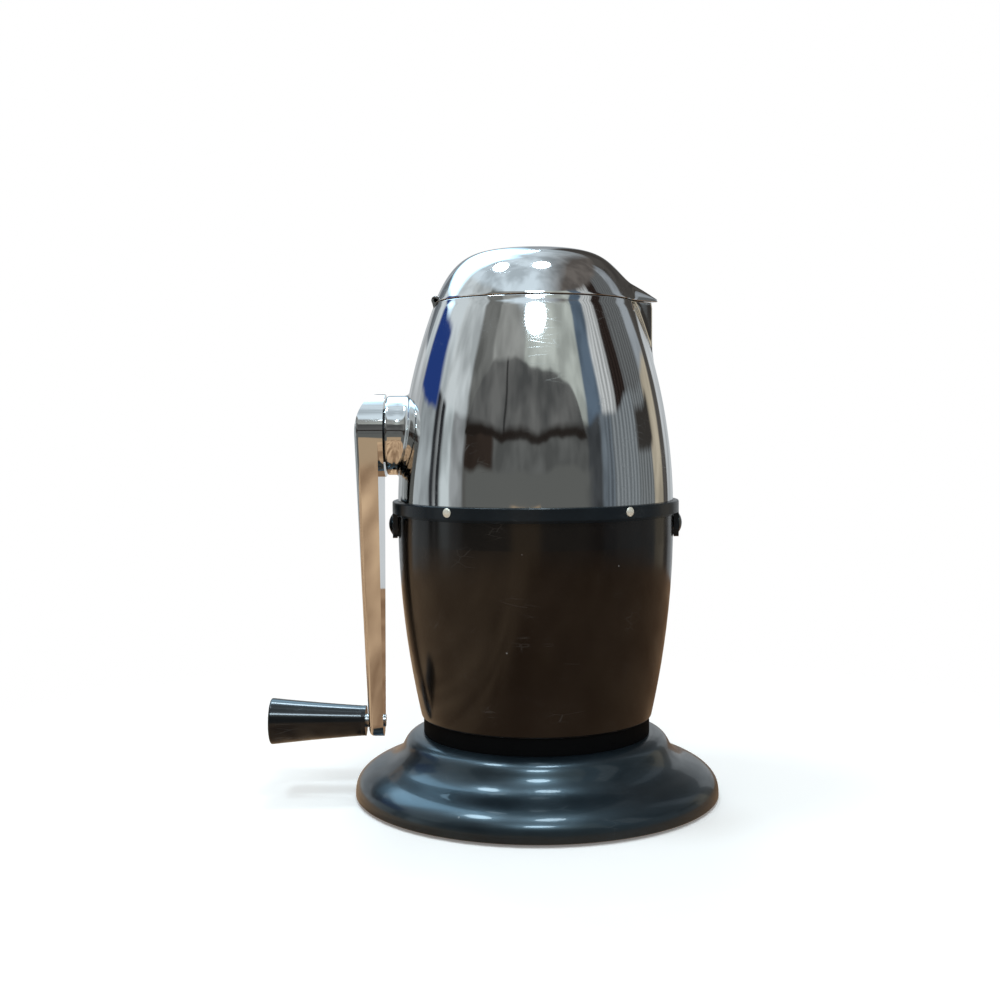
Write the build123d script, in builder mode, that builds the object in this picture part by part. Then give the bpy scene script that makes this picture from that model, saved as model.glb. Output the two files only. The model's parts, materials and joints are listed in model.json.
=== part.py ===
from build123d import *
from math import cos, isclose, radians, sin, sqrt
import os

os.makedirs("parts", exist_ok=True)

# Sizes are in millimetres. The origin is on the table under the axis of the cup.
# +Z is up, the crank is on the -X side and the beak points to +X.

# Clearances
fixed_gap = 0.03  # radial, between a fixed pin or screw and its hole
running_gap = 0.05  # radial, between a turning shaft and its bush
side_gap = 0.2  # beside a turning piece, along its shaft
rest_gap = 0.1  # under the head where it rests on the rim of the cup
lift_gap = 0.4  # between pieces that lift apart
seam_gap = 0.3  # between the lid and the rim of the head
screw_end_gap = 1.0  # beyond the tip of a screw

# Moulded walls
wall = 2.6
base_wall = 3.0

# Base
base_radius = 82.8
base_height = 29.0
base_rim_height = 6.6
base_table_gap = 1.3
skirt_bend_inset = 4.8
skirt_bend_height = 12.1
shoulder_width = 6.5  # of the flat round the socket
valley_width = 4.3  # of the slope below the shoulder
valley_height = 19.5
shoulder_round = 7.0
valley_round = 3.0
skirt_round = 8.0
rim_round = 9.0
socket_floor = 22.0
gasket_seat = 25.5
gasket_width = 4.1
rib_count = 6
rib_thickness = 2.0
rib_bottom = 6.0

# Rubber channel on a round rib under the base
foot_rib_inset = 14.8  # inside the radius of the base
foot_rib_thickness = 3.0
foot_rib_bottom = 2.4
foot_wall = 2.2
foot_height = 5.6
foot_round = 0.8

# Cup
body_radius = 62.2
cup_edge_radius = 52.4
cup_edge_height = 36.5
cup_edge_round = 1.2
cup_foot_inset = 4.9  # inside the lower edge of the cup
cup_bulge = 2.0
cup_straight_height = 11.3
cup_rim_height = 128.0
cup_corner_round = 5.0

# Screws that hold the cup to the base
base_screw_count = 3
base_screw_circle = 30.0
base_screw_radius = 1.8
base_screw_length = 12.0
base_screw_head_radius = 3.5
base_screw_head_height = 2.4
cup_boss_radius = 4.5

# Side pegs on the cup
peg_drop = 4.3  # from the rim of the cup down to the axis of the pegs
peg_radius = 2.9
peg_head_radius = 4.7
peg_head_height = 1.7

# Collar
collar_reach = 2.6  # beyond the radius of the body
collar_web = 2.2
collar_band_drop = 1.2  # from the underside of the web up to the lower edge of the band
collar_band_height = 5.2
collar_web_width = 12.7
collar_spigot_width = 3.5
collar_spigot_depth = 7.5
collar_edge_round = 0.6
ear_width = 18.0
ear_length = 11.6
ear_round = 4.0

# Rivets round the collar
rivet_angles = (-126.0, -54.0, 54.0, 126.0)
rivet_rise = 0.2  # above the middle of the band
rivet_radius = 1.2
rivet_head_radius = 2.0
rivet_head_height = 0.8
rivet_tail_radius = 1.7
rivet_tail_height = 0.6

# Housing of the crushing head
housing_height = 92.7
housing_skirt = 4.8
housing_bulge = 3.9
mouth_radius = 44.9
beak_overreach = 9.1  # of the tip beyond the mouth
beak_half_width = 13.0
beak_root_inset = 4.9  # of its root inside the mouth
beak_height = 27.0
beak_tip_round = 1.5
beak_root_round = 1.5  # where the beak leaves the wall

# Lid
lid_height = 22.9
lid_waist_inset = 5.3  # inside the mouth radius
lid_waist_height = 10.4
lid_shoulder_inset = 14.2  # inside the mouth radius
lid_shoulder_height = 19.3
lid_rim_lean = 0.3
lid_beak_overhang = 1.5
lid_beak_stations = ((-10.9, 13.0), (-1.2, 9.1), (3.4, 5.4))  # reach beyond the mouth and ridge height
lid_beak_tip_height = 1.1
lid_beak_tip_width = 1.2
lid_beak_root_round = 5.0  # where the beak leaves the dome

# Hinge of the lid
hinge_inset = 0.8  # axis inside the mouth radius
hinge_rise = 1.0  # axis above the rim of the housing
hinge_barrel_radius = 1.9
hinge_pin_radius = 0.9
lid_knuckle_width = 8.0
hinge_width = 18.0
hinge_relief = 0.4
hinge_root = 8.0  # from the axis down to the root of the knuckles on the housing

# Crank boss on the housing
crank_axis_rise = 33.7  # above the lower edge of the housing
boss_radius = 17.9
boss_reach = 4.8  # beyond the radius of the body
arm_base_gap = 4.5  # least distance of the boss face outside the slope of the base
boss_face = 3.0
boss_sleeve_wall = 2.5
boss_sleeve_length = 14.0
boss_round = 1.0
boss_root_round = 1.5  # where the boss leaves the wall
washer_thickness = 0.6
washer_radius = 12.0

# Shaft, bushes and clip
shaft_radius = 5.0
bush_wall = 2.0
bush_flange = 2.0
bush_flange_thickness = 1.5
drive_shoulder = 1.5  # by which the flats of the drive lie inside the shaft
clip_thickness = 1.1
clip_groove_depth = 0.8
clip_width = 2.6
clip_opening = 5.9
shaft_overhang = 1.5

# Breaker discs and spacers
disc_count = 6
disc_thickness = 4.0
disc_hub_width = 3.0  # of the disc beyond its spacers
disc_teeth = 4
tooth_hook = 6.0  # degrees by which a tooth leans into its turn
tooth_back = 58.0  # degrees that the back of a tooth takes
tooth_crown = 1.5  # swell of the back of a tooth
tooth_sink = 1.0  # depth to which a tooth runs into its disc
disc_step = 60.0  # degrees from one disc to the next, one flat of the hexagon
spacer_wall = 4.0

# Crushing chute
chassis_corner = 8.0
chassis_wall = 2.5
chassis_top_rise = 57.4  # above the lower edge of the housing
chassis_corner_gap = 2.9  # to the inside of the housing at its top
chassis_rotor_gap = 0.7  # from the tips of the teeth to its top
chassis_flange = 2.5
chassis_flange_gap = 1.3
chassis_screw_angles = (65.0, 115.0, 245.0, 295.0)
chassis_screw_inset = 5.3
chassis_screw_radius = 1.25
chassis_screw_length = 10.5
chassis_screw_head_radius = 2.8
chassis_screw_head_height = 2.2
chassis_boss_radius = 4.0
far_sleeve_length = 8.0
rotor_entry_gap = 1.0  # round the spacers where they pass through the wall
rotor_end_space = 5.5  # from an end of the chute to half a pitch beyond the last disc

# Combs
comb_thickness = 2.5
comb_prong_thickness = 3.0
comb_flange_below = 10.0
comb_flange_above = 9.7
comb_tip_gap = 1.8  # from the tips of the prongs to the spacers
comb_slot_gap = 2.0  # beside the discs
comb_root_gap = 2.5  # beyond the tips of the teeth
comb_back_gap = 6.0  # from the tips of the teeth to the flange
comb_screw_spread = 20.0
comb_screw_rise = 6.2
comb_screw_radius = 1.5
comb_screw_head_radius = 2.8
comb_screw_head_height = 2.0

# Hopper liner
liner_wall = 2.0
liner_mouth_gap = 1.1  # to the inside of the housing at the mouth
liner_mouth_drop = 3.0
liner_mouth_flat = 0.4  # straight stretch between the rounded corners of the mouth

# Crank arm
crank_throw = 130.8
arm_hub_radius = 18.7
arm_hub_thickness = 12.6
arm_end_radius = 7.0
arm_end_thickness = 8.9
arm_relief = 2.2  # of its inner face below the hub
arm_edge_round = 2.0
arm_dome_depth = 9.6
arm_web = 2.0  # under the head of its screw
crank_screw_radius = 2.1
crank_screw_head_radius = 4.6
crank_screw_head_height = 2.6
crank_screw_length = 12.0

# Handle
grip_gap = 1.6
grip_length = 43.7
grip_inner_radius = 6.9
grip_outer_radius = 10.6
grip_neck_length = 2.0
grip_hollow = 0.2
grip_end_round = 0.8
grip_recess_depth = 6.0
stud_radius = 3.0
stud_rivet_radius = 2.4
stud_tail_radius = 2.8
stud_tail_height = 0.7
stud_head_radius = 5.2
stud_head_height = 2.4

# Heights and places that follow from the sizes above
base_roof = socket_floor - base_wall
cup_foot_radius = cup_edge_radius - cup_foot_inset
socket_radius = cup_foot_radius + gasket_width
shoulder_radius = socket_radius + shoulder_width
valley_radius = shoulder_radius + valley_width
skirt_bend_radius = base_radius - skirt_bend_inset
skirt_slope = (valley_height - skirt_bend_height) / (skirt_bend_radius - valley_radius)
foot_rib_radius = base_radius - foot_rib_inset
foot_rib_top = valley_height - base_wall / 2 - skirt_slope * (foot_rib_radius - valley_radius)
cup_shoulder_height = cup_rim_height - cup_straight_height
cup_floor_top = cup_edge_height + wall
peg_z = cup_rim_height - peg_drop
bore_radius = body_radius - wall
collar_radius = body_radius + collar_reach
collar_passage_radius = body_radius - collar_web_width
peg_inner_x = bore_radius + side_gap
peg_head_x = collar_radius + side_gap
collar_bottom = cup_rim_height + rest_gap
band_bottom = collar_bottom + collar_band_drop
band_top = band_bottom + collar_band_height
band_inner_radius = body_radius + fixed_gap
housing_bottom = collar_bottom + collar_web
housing_top = housing_bottom + housing_height
skirt_top = housing_bottom + housing_skirt
beak_reach = mouth_radius + beak_overreach
beak_root = mouth_radius - beak_root_inset
rivet_z = band_bottom + collar_band_height / 2 + rivet_rise
crank_z = housing_bottom + crank_axis_rise
boss_x = -max(body_radius + boss_reach, valley_radius + arm_base_gap)
sleeve_bore_radius = shaft_radius + running_gap + bush_wall
sleeve_radius = sleeve_bore_radius + boss_sleeve_wall
sleeve_end_x = boss_x + boss_face + boss_sleeve_length
arm_x = boss_x - washer_thickness
handle_z = crank_z - crank_throw
arm_shank_x = arm_x - arm_relief
arm_end_x = arm_x - arm_end_thickness
grip_x = arm_end_x - grip_gap
grip_end_x = grip_x - grip_length
lid_bottom = housing_top + seam_gap
lid_top = lid_bottom + lid_height
hinge_x = -(mouth_radius - hinge_inset)
hinge_z = housing_top + hinge_rise
chassis_flange_radius = bore_radius - chassis_flange_gap
chassis_screw_circle = chassis_flange_radius - chassis_screw_inset

handle_line = Axis((0, 0, handle_z), (1, 0, 0))
peg_line = Axis((0, 0, peg_z), (1, 0, 0))


def across(x, z, turn=0):
    """Place whose Z axis runs along +X through the point (x, 0, z), turned about it by degrees."""
    return Plane(origin=(x, 0, z), x_dir=(0, cos(radians(turn)), sin(radians(turn))), z_dir=(1, 0, 0))


def radial(angle, z):
    """Place whose Z axis runs outwards from the axis of the cup."""
    return Plane(origin=(0, 0, z), z_dir=(cos(radians(angle)), sin(radians(angle)), 0))


def upright(angle):
    """Plane through the axis of the cup, with X outwards and Y up."""
    outwards = (cos(radians(angle)), sin(radians(angle)), 0)
    return Plane(origin=(0, 0, 0), x_dir=outwards, z_dir=(outwards[1], -outwards[0], 0))


def bore_at(z):
    """Inner radius of the housing at a height above its skirt."""
    low = Vector(bore_radius, skirt_top)
    high = Vector(mouth_radius - wall, housing_top)
    chord = high - low
    arc_radius = (chord.length**2 / 4 + housing_bulge**2) / (2 * housing_bulge)
    outwards = Vector(chord.Y, -chord.X).normalized()
    centre = (low + high) / 2 - outwards * (arc_radius - housing_bulge)
    return centre.X + sqrt(arc_radius**2 - (z - centre.Y) ** 2)


def polar(radius, angle):
    """Point of a flat sketch at a radius and an angle in degrees."""
    return (radius * cos(radians(angle)), radius * sin(radians(angle)))


def rings(part, radius):
    """Round edges of a part that have one radius."""
    round_edges = part.edges().filter_by(GeomType.CIRCLE)
    return round_edges.filter_by(lambda edge: isclose(edge.radius, radius, rel_tol=1e-6))


def inset(before, point, after, thickness):
    """Point of an outline moved inwards, square to the line between its neighbours."""
    along = (Vector(*after) - Vector(*before)).normalized()
    return (point[0] - thickness * along.Y, point[1] + thickness * along.X)


# Rotor and chute, sized to fit inside the housing
chassis_top = housing_bottom + chassis_top_rise
disc_tip_radius = chassis_top_rise - crank_axis_rise - chassis_rotor_gap
spacer_radius = shaft_radius + spacer_wall
disc_root_radius = spacer_radius + disc_hub_width
chassis_width = 2 * (disc_tip_radius + comb_back_gap + comb_thickness + chassis_wall)
corner_reach = bore_at(chassis_top) - chassis_corner_gap - chassis_corner
corner_y = chassis_width / 2 - chassis_corner
chassis_length = 2 * (sqrt(corner_reach**2 - corner_y**2) + chassis_corner)
disc_pitch = (chassis_length - 2 * rotor_end_space) / disc_count
disc_places = [(number - (disc_count - 1) / 2) * disc_pitch for number in range(disc_count)]
far_wall_x = chassis_length / 2 - chassis_wall
far_end_x = chassis_length / 2 + far_sleeve_length
rotor_left_x = sleeve_end_x + bush_flange_thickness + side_gap
rotor_right_x = far_wall_x - side_gap
clip_x = far_end_x + side_gap
shaft_end_x = clip_x + clip_thickness + shaft_overhang
drive_square = 2 * (shaft_radius - drive_shoulder)
drive_length = arm_hub_thickness - crank_screw_head_height - arm_web
drive_end_x = arm_x - drive_length

rivet_lines = [radial(angle, rivet_z).location for angle in rivet_angles]
base_screw_places = PolarLocations(base_screw_circle, base_screw_count, start_angle=90).local_locations
chassis_screw_places = [Pos(*polar(chassis_screw_circle, angle), 0) for angle in chassis_screw_angles]
comb_screw_lines = [
    Plane((x, 0, crank_z + comb_screw_rise), z_dir=(0, -1, 0)).location
    for x in (-comb_screw_spread, comb_screw_spread)
]
from_below = (Align.CENTER, Align.CENTER, Align.MIN)
from_above = (Align.CENTER, Align.CENTER, Align.MAX)


# Base: black moulded foot with an ogee skirt, a socket for the cup and gussets underneath
inner_rim_radius = base_radius - base_wall
cavity_corners = [
    (inner_rim_radius, base_rim_height - base_wall / 2),
    (skirt_bend_radius - base_wall / 2, skirt_bend_height - base_wall),
    (valley_radius, valley_height - base_wall),
    (shoulder_radius, base_roof),
]
with BuildPart() as base:
    with BuildSketch(Plane.XZ):
        with BuildLine():
            FilletPolyline(
                (socket_radius, base_height),
                (shoulder_radius, base_height),
                (valley_radius, valley_height),
                (skirt_bend_radius, skirt_bend_height),
                (base_radius, base_rim_height),
                (base_radius, base_table_gap),
                radius=[shoulder_round, valley_round, skirt_round, rim_round],
            )
            Polyline(
                (base_radius, base_table_gap),
                (inner_rim_radius, base_table_gap),
                *cavity_corners,
                (0, base_roof),
                (0, socket_floor),
                (cup_foot_radius + lift_gap, socket_floor),
                (cup_foot_radius + lift_gap, gasket_seat),
                (socket_radius, gasket_seat),
                (socket_radius, base_height),
            )
        make_face()
    revolve(axis=Axis.Z)
    for number in range(rib_count):
        with BuildSketch(upright(360 / rib_count * number)):
            with BuildLine():
                Polyline(
                    (foot_rib_radius, rib_bottom),
                    *cavity_corners[1:-1],
                    close=True,
                )
            make_face()
        extrude(amount=rib_thickness / 2, both=True)
    with BuildSketch(Plane.XY.offset(foot_rib_bottom)):
        Circle(foot_rib_radius + foot_rib_thickness / 2)
        Circle(foot_rib_radius - foot_rib_thickness / 2, mode=Mode.SUBTRACT)
    extrude(amount=foot_rib_top - foot_rib_bottom)
    with Locations(*[place * Pos(0, 0, base_roof) for place in base_screw_places]):
        Cylinder(base_screw_radius + fixed_gap, base_wall, align=from_below, mode=Mode.SUBTRACT)
base.part.label = "base"
export_step(base.part, "parts/base.step")

# Rubber foot ring: channel pushed on to the rib, it grips the table
with BuildPart() as foot_ring:
    with BuildSketch():
        Circle(foot_rib_radius + foot_rib_thickness / 2 + foot_wall)
        Circle(foot_rib_radius - foot_rib_thickness / 2 - foot_wall, mode=Mode.SUBTRACT)
    extrude(amount=foot_height)
    fillet(foot_ring.edges().group_by(Axis.Z)[0], foot_round)
    with BuildSketch(Plane.XY.offset(foot_rib_bottom)):
        Circle(foot_rib_radius + foot_rib_thickness / 2 + fixed_gap)
        Circle(foot_rib_radius - foot_rib_thickness / 2 - fixed_gap, mode=Mode.SUBTRACT)
    extrude(amount=foot_height, mode=Mode.SUBTRACT)
foot_ring.part.label = "foot_ring"
export_step(foot_ring.part, "parts/foot_ring.step")

# Gasket: black band that shows between the base and the cup
with BuildPart() as cup_gasket:
    with BuildSketch(Plane.XZ):
        with BuildLine():
            Polyline(
                (cup_foot_radius + fixed_gap, gasket_seat),
                (socket_radius - fixed_gap, gasket_seat),
                (socket_radius - fixed_gap, cup_edge_height),
                (cup_foot_radius + fixed_gap, cup_edge_height),
                close=True,
            )
        make_face()
    revolve(axis=Axis.Z)
cup_gasket.part.label = "cup_gasket"
export_step(cup_gasket.part, "parts/cup_gasket.step")

# Cup: swelling beaker on a foot ring, with screw bosses under its floor
with BuildPart() as cup:
    with BuildSketch(Plane.XZ):
        with BuildLine():
            Polyline(
                (cup_foot_radius, socket_floor),
                (cup_foot_radius, cup_edge_height),
                (cup_edge_radius, cup_edge_height),
            )
            SagittaArc(
                (cup_edge_radius, cup_edge_height),
                (body_radius, cup_shoulder_height),
                -cup_bulge,
            )
            Polyline(
                (body_radius, cup_shoulder_height),
                (body_radius, cup_rim_height),
                (body_radius - wall, cup_rim_height),
                (body_radius - wall, cup_shoulder_height),
            )
            SagittaArc(
                (body_radius - wall, cup_shoulder_height),
                (cup_edge_radius - wall, cup_floor_top),
                cup_bulge,
            )
            Polyline(
                (cup_edge_radius - wall, cup_floor_top),
                (0, cup_floor_top),
                (0, cup_edge_height),
                (cup_foot_radius - wall, cup_edge_height),
                (cup_foot_radius - wall, socket_floor),
                (cup_foot_radius, socket_floor),
            )
        make_face()
    revolve(axis=Axis.Z)
    fillet(rings(cup, cup_edge_radius), cup_edge_round)
    fillet(rings(cup, cup_edge_radius - wall), cup_corner_round)
    with Locations(*[place * Pos(0, 0, socket_floor) for place in base_screw_places]):
        Cylinder(cup_boss_radius, cup_edge_height - socket_floor, align=from_below)
        Cylinder(
            base_screw_radius + fixed_gap,
            base_screw_length - base_wall + screw_end_gap,
            align=from_below,
            mode=Mode.SUBTRACT,
        )
    with Locations(across(0, peg_z).location):
        Cylinder(peg_radius + fixed_gap, 2 * body_radius, mode=Mode.SUBTRACT)
cup.part.label = "cup"
export_step(cup.part, "parts/cup.step")

# Screws from under the base into the bosses of the cup
with BuildPart() as base_screws:
    with Locations(*[place * Pos(0, 0, base_roof) for place in base_screw_places]):
        Cylinder(base_screw_radius, base_screw_length, align=from_below)
        Cylinder(base_screw_head_radius, base_screw_head_height, align=from_above)
base_screws.part.label = "base_screws"
export_step(base_screws.part, "parts/base_screws.step")

# Pegs: domed studs set in the wall of the cup, on which the ears of the collar hang
with BuildPart() as cup_pegs:
    with BuildSketch(Plane.XZ):
        with BuildLine():
            Polyline(
                (peg_head_x + peg_head_height, peg_z),
                (peg_inner_x, peg_z),
                (peg_inner_x, peg_z + peg_radius),
                (peg_head_x, peg_z + peg_radius),
                (peg_head_x, peg_z + peg_head_radius),
            )
            TangentArc(
                (peg_head_x + peg_head_height, peg_z),
                (peg_head_x, peg_z + peg_head_radius),
                tangent=(0, 1),
            )
        make_face()
    revolve(axis=peg_line)
    mirror(about=Plane.YZ)
cup_pegs.part.label = "cup_pegs"
export_step(cup_pegs.part, "parts/cup_pegs.step")

# Ears of the collar: two tabs, each with a notch that drops over a peg
with BuildPart() as collar_ears:
    with BuildSketch(Plane.XY.offset(band_bottom - ear_length)):
        Circle(collar_radius)
        Circle(body_radius + lift_gap, mode=Mode.SUBTRACT)
    extrude(amount=ear_length)
    with BuildSketch(Plane.YZ):
        with Locations((0, band_bottom - ear_length)):
            ear_outline = Rectangle(ear_width, 2 * ear_length, align=(Align.CENTER, Align.MIN))
        fillet(ear_outline.vertices().group_by(Axis.Y)[0], ear_round)
        with Locations((0, peg_z)):
            Circle(peg_radius + lift_gap, mode=Mode.SUBTRACT)
            Rectangle(
                2 * (peg_radius + lift_gap),
                2 * ear_length,
                align=(Align.CENTER, Align.MAX),
                mode=Mode.SUBTRACT,
            )
    extrude(amount=2 * collar_radius, both=True, mode=Mode.INTERSECT)

# Collar: ring that carries the housing and the chute and rests on the rim of the cup
spigot_radius = body_radius - wall - lift_gap
with BuildPart() as collar:
    with BuildSketch(Plane.XZ):
        with BuildLine():
            Polyline(
                (collar_passage_radius, housing_bottom),
                (band_inner_radius, housing_bottom),
                (band_inner_radius, band_top),
                (collar_radius, band_top),
                (collar_radius, band_bottom),
                (body_radius + lift_gap, band_bottom),
                (body_radius + lift_gap, collar_bottom),
                (spigot_radius, collar_bottom),
                (spigot_radius, collar_bottom - collar_spigot_depth),
                (spigot_radius - collar_spigot_width, collar_bottom - collar_spigot_depth),
                (spigot_radius - collar_spigot_width, collar_bottom),
                (collar_passage_radius, collar_bottom),
                close=True,
            )
        make_face()
    revolve(axis=Axis.Z)
    fillet(rings(collar, collar_radius).group_by(Axis.Z)[-1], collar_edge_round)
    add(collar_ears.part)
    with Locations(*[place * Pos(0, 0, collar_bottom) for place in chassis_screw_places]):
        Cylinder(chassis_boss_radius, collar_spigot_depth, align=from_above)
    with Locations(*[place * Pos(0, 0, housing_bottom) for place in chassis_screw_places]):
        Cylinder(
            chassis_screw_radius + fixed_gap,
            chassis_screw_length - chassis_flange,
            align=from_above,
            mode=Mode.SUBTRACT,
        )
    with Locations(*rivet_lines):
        Cylinder(rivet_radius + fixed_gap, 2 * collar_radius, align=from_below, mode=Mode.SUBTRACT)
collar.part.label = "collar"
export_step(collar.part, "parts/collar.step")

# Housing: tapered chrome head with a beak at the rim, a crank boss and two hinge knuckles
with BuildPart() as housing:
    with BuildSketch(Plane.XZ):
        with BuildLine():
            Polyline((0, housing_bottom), (body_radius, housing_bottom), (body_radius, skirt_top))
            SagittaArc((body_radius, skirt_top), (mouth_radius, housing_top), -housing_bulge)
            Polyline((mouth_radius, housing_top), (0, housing_top), (0, housing_bottom))
        make_face()
    revolve(axis=Axis.Z)
    with BuildSketch(Plane.XY.offset(housing_top)) as beak_plan:
        with BuildLine():
            Polyline(
                (beak_reach, 0),
                (beak_root, beak_half_width),
                (0, beak_half_width),
                (0, -beak_half_width),
                (beak_root, -beak_half_width),
                close=True,
            )
        make_face()
        fillet(beak_plan.vertices().sort_by(Axis.X)[-1], beak_tip_round)
    extrude(amount=-beak_height)
    beak_edges = housing.edges(Select.NEW)
    beak_flanks = [edge for edge in beak_edges if edge.bounding_box().max.Z > housing_top - wall]
    fillet(beak_flanks, beak_root_round)
    with Locations(across(boss_x, crank_z).location):
        Cylinder(boss_radius, -boss_x / 2, align=from_below)
    fillet(housing.edges(Select.NEW), boss_root_round)
    boss_edge = housing.edges().filter_by(GeomType.CIRCLE).sort_by(Axis.X)[0]
    fillet(boss_edge, boss_round)
    # Hollow inside, with a wall that follows the outside
    with BuildSketch(Plane.XZ):
        with BuildLine():
            Polyline((0, housing_bottom), (bore_radius, housing_bottom), (bore_radius, skirt_top))
            SagittaArc((bore_radius, skirt_top), (mouth_radius - wall, housing_top), -housing_bulge)
            Polyline((mouth_radius - wall, housing_top), (0, housing_top), (0, housing_bottom))
        make_face()
    revolve(axis=Axis.Z, mode=Mode.SUBTRACT)
    with BuildSketch(Plane.XY.offset(housing_top)) as beak_hollow:
        add(beak_plan.sketch_local)
        offset(amount=-wall)
    extrude(amount=-beak_height + wall, mode=Mode.SUBTRACT)
    # Cored boss with a sleeve for the bush
    with Locations(across(boss_x + boss_face, crank_z).location):
        Cylinder(boss_radius - wall, -boss_x / 2, align=from_below, mode=Mode.SUBTRACT)
        Cylinder(sleeve_radius, boss_sleeve_length, align=from_below)
    with Locations(across(boss_x, crank_z).location):
        Cylinder(
            sleeve_bore_radius + fixed_gap,
            boss_face + boss_sleeve_length,
            align=from_below,
            mode=Mode.SUBTRACT,
        )
    # Hinge knuckles, with a gap between them for the knuckle of the lid
    with BuildSketch(Plane.XZ):
        with Locations((hinge_x, hinge_z)):
            Circle(hinge_barrel_radius)
            Rectangle(hinge_barrel_radius, hinge_root, align=(Align.MAX, Align.MAX))
    extrude(amount=hinge_width / 2, both=True)
    with BuildSketch(Plane.XZ):
        with Locations((hinge_x, hinge_z)):
            Circle(hinge_barrel_radius + hinge_relief)
            Rectangle(3 * hinge_barrel_radius, 3 * hinge_barrel_radius, align=(Align.MAX, Align.CENTER))
    extrude(amount=lid_knuckle_width / 2 + side_gap, both=True, mode=Mode.SUBTRACT)
    with BuildSketch(Plane.XZ):
        with Locations((hinge_x, hinge_z)):
            Circle(hinge_pin_radius + fixed_gap)
    extrude(amount=hinge_width, both=True, mode=Mode.SUBTRACT)
    with Locations(*rivet_lines):
        Cylinder(rivet_radius + fixed_gap, 2 * body_radius, align=from_below, mode=Mode.SUBTRACT)
housing.part.label = "housing"
export_step(housing.part, "parts/housing.step")

# Rivets through the band of the collar and the skirt of the housing
with BuildPart() as collar_rivets:
    for rivet_plane in [radial(angle, rivet_z) for angle in rivet_angles]:
        tail = body_radius - wall - rivet_tail_height
        with Locations(rivet_plane.offset(tail).location):
            Cylinder(rivet_tail_radius, rivet_tail_height - fixed_gap, align=from_below)
            Cylinder(rivet_radius, collar_radius + rivet_head_height - tail, align=from_below)
        with Locations(rivet_plane.offset(collar_radius + fixed_gap).location):
            Cylinder(rivet_head_radius, rivet_head_height, align=from_below)
collar_rivets.part.label = "collar_rivets"
export_step(collar_rivets.part, "parts/collar_rivets.step")

# Chassis: rectangular chute with a round flange and a sleeve for the far bush
with BuildPart() as chassis:
    with BuildSketch(Plane.XY.offset(housing_bottom)):
        Circle(chassis_flange_radius)
    extrude(amount=chassis_flange)
    with BuildSketch(Plane.XY.offset(housing_bottom)):
        RectangleRounded(chassis_length, chassis_width, chassis_corner)
    extrude(amount=chassis_top - housing_bottom)
    with Locations(across(far_wall_x, crank_z).location):
        Cylinder(sleeve_radius, chassis_wall + far_sleeve_length, align=from_below)
    with BuildSketch(Plane.XY.offset(housing_bottom)):
        RectangleRounded(
            chassis_length - 2 * chassis_wall, chassis_width - 2 * chassis_wall, chassis_corner - chassis_wall
        )
    extrude(amount=chassis_top - housing_bottom, mode=Mode.SUBTRACT)
    with Locations(across(0, crank_z).location):
        Cylinder(sleeve_bore_radius + fixed_gap, chassis_length, align=from_below, mode=Mode.SUBTRACT)
        Cylinder(spacer_radius + rotor_entry_gap, chassis_length, align=from_above, mode=Mode.SUBTRACT)
    with Locations(*[place * Pos(0, 0, housing_bottom) for place in chassis_screw_places]):
        Cylinder(chassis_screw_radius + fixed_gap, chassis_flange, align=from_below, mode=Mode.SUBTRACT)
    with Locations(*comb_screw_lines):
        Cylinder(comb_screw_radius + fixed_gap, 2 * chassis_width, mode=Mode.SUBTRACT)
chassis.part.label = "chassis"
export_step(chassis.part, "parts/chassis.step")

# Screws that hold the chassis down on the collar
with BuildPart() as chassis_screws:
    with Locations(*[place * Pos(0, 0, housing_bottom + chassis_flange) for place in chassis_screw_places]):
        Cylinder(chassis_screw_radius, chassis_screw_length, align=from_above)
        Cylinder(chassis_screw_head_radius, chassis_screw_head_height, align=from_below)
chassis_screws.part.label = "chassis_screws"
export_step(chassis_screws.part, "parts/chassis_screws.step")

# Hopper liner: funnel from the round mouth to the rectangular chute
liner_top = housing_top - liner_mouth_drop
liner_radius = mouth_radius - wall - liner_mouth_gap
with BuildPart() as hopper_liner:
    with BuildSketch(Plane.XY.offset(chassis_top)):
        RectangleRounded(chassis_length, chassis_width, chassis_corner)
    with BuildSketch(Plane.XY.offset(liner_top)):
        RectangleRounded(2 * liner_radius, 2 * liner_radius, liner_radius - liner_mouth_flat / 2)
    loft(ruled=True)
    with BuildSketch(Plane.XY.offset(chassis_top)):
        RectangleRounded(
            chassis_length - 2 * liner_wall,
            chassis_width - 2 * liner_wall,
            chassis_corner - liner_wall,
        )
    with BuildSketch(Plane.XY.offset(liner_top)):
        inner_radius = liner_radius - liner_wall
        RectangleRounded(2 * inner_radius, 2 * inner_radius, inner_radius - liner_mouth_flat / 2)
    loft(ruled=True, mode=Mode.SUBTRACT)
hopper_liner.part.label = "hopper_liner"
export_step(hopper_liner.part, "parts/hopper_liner.step")

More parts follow.
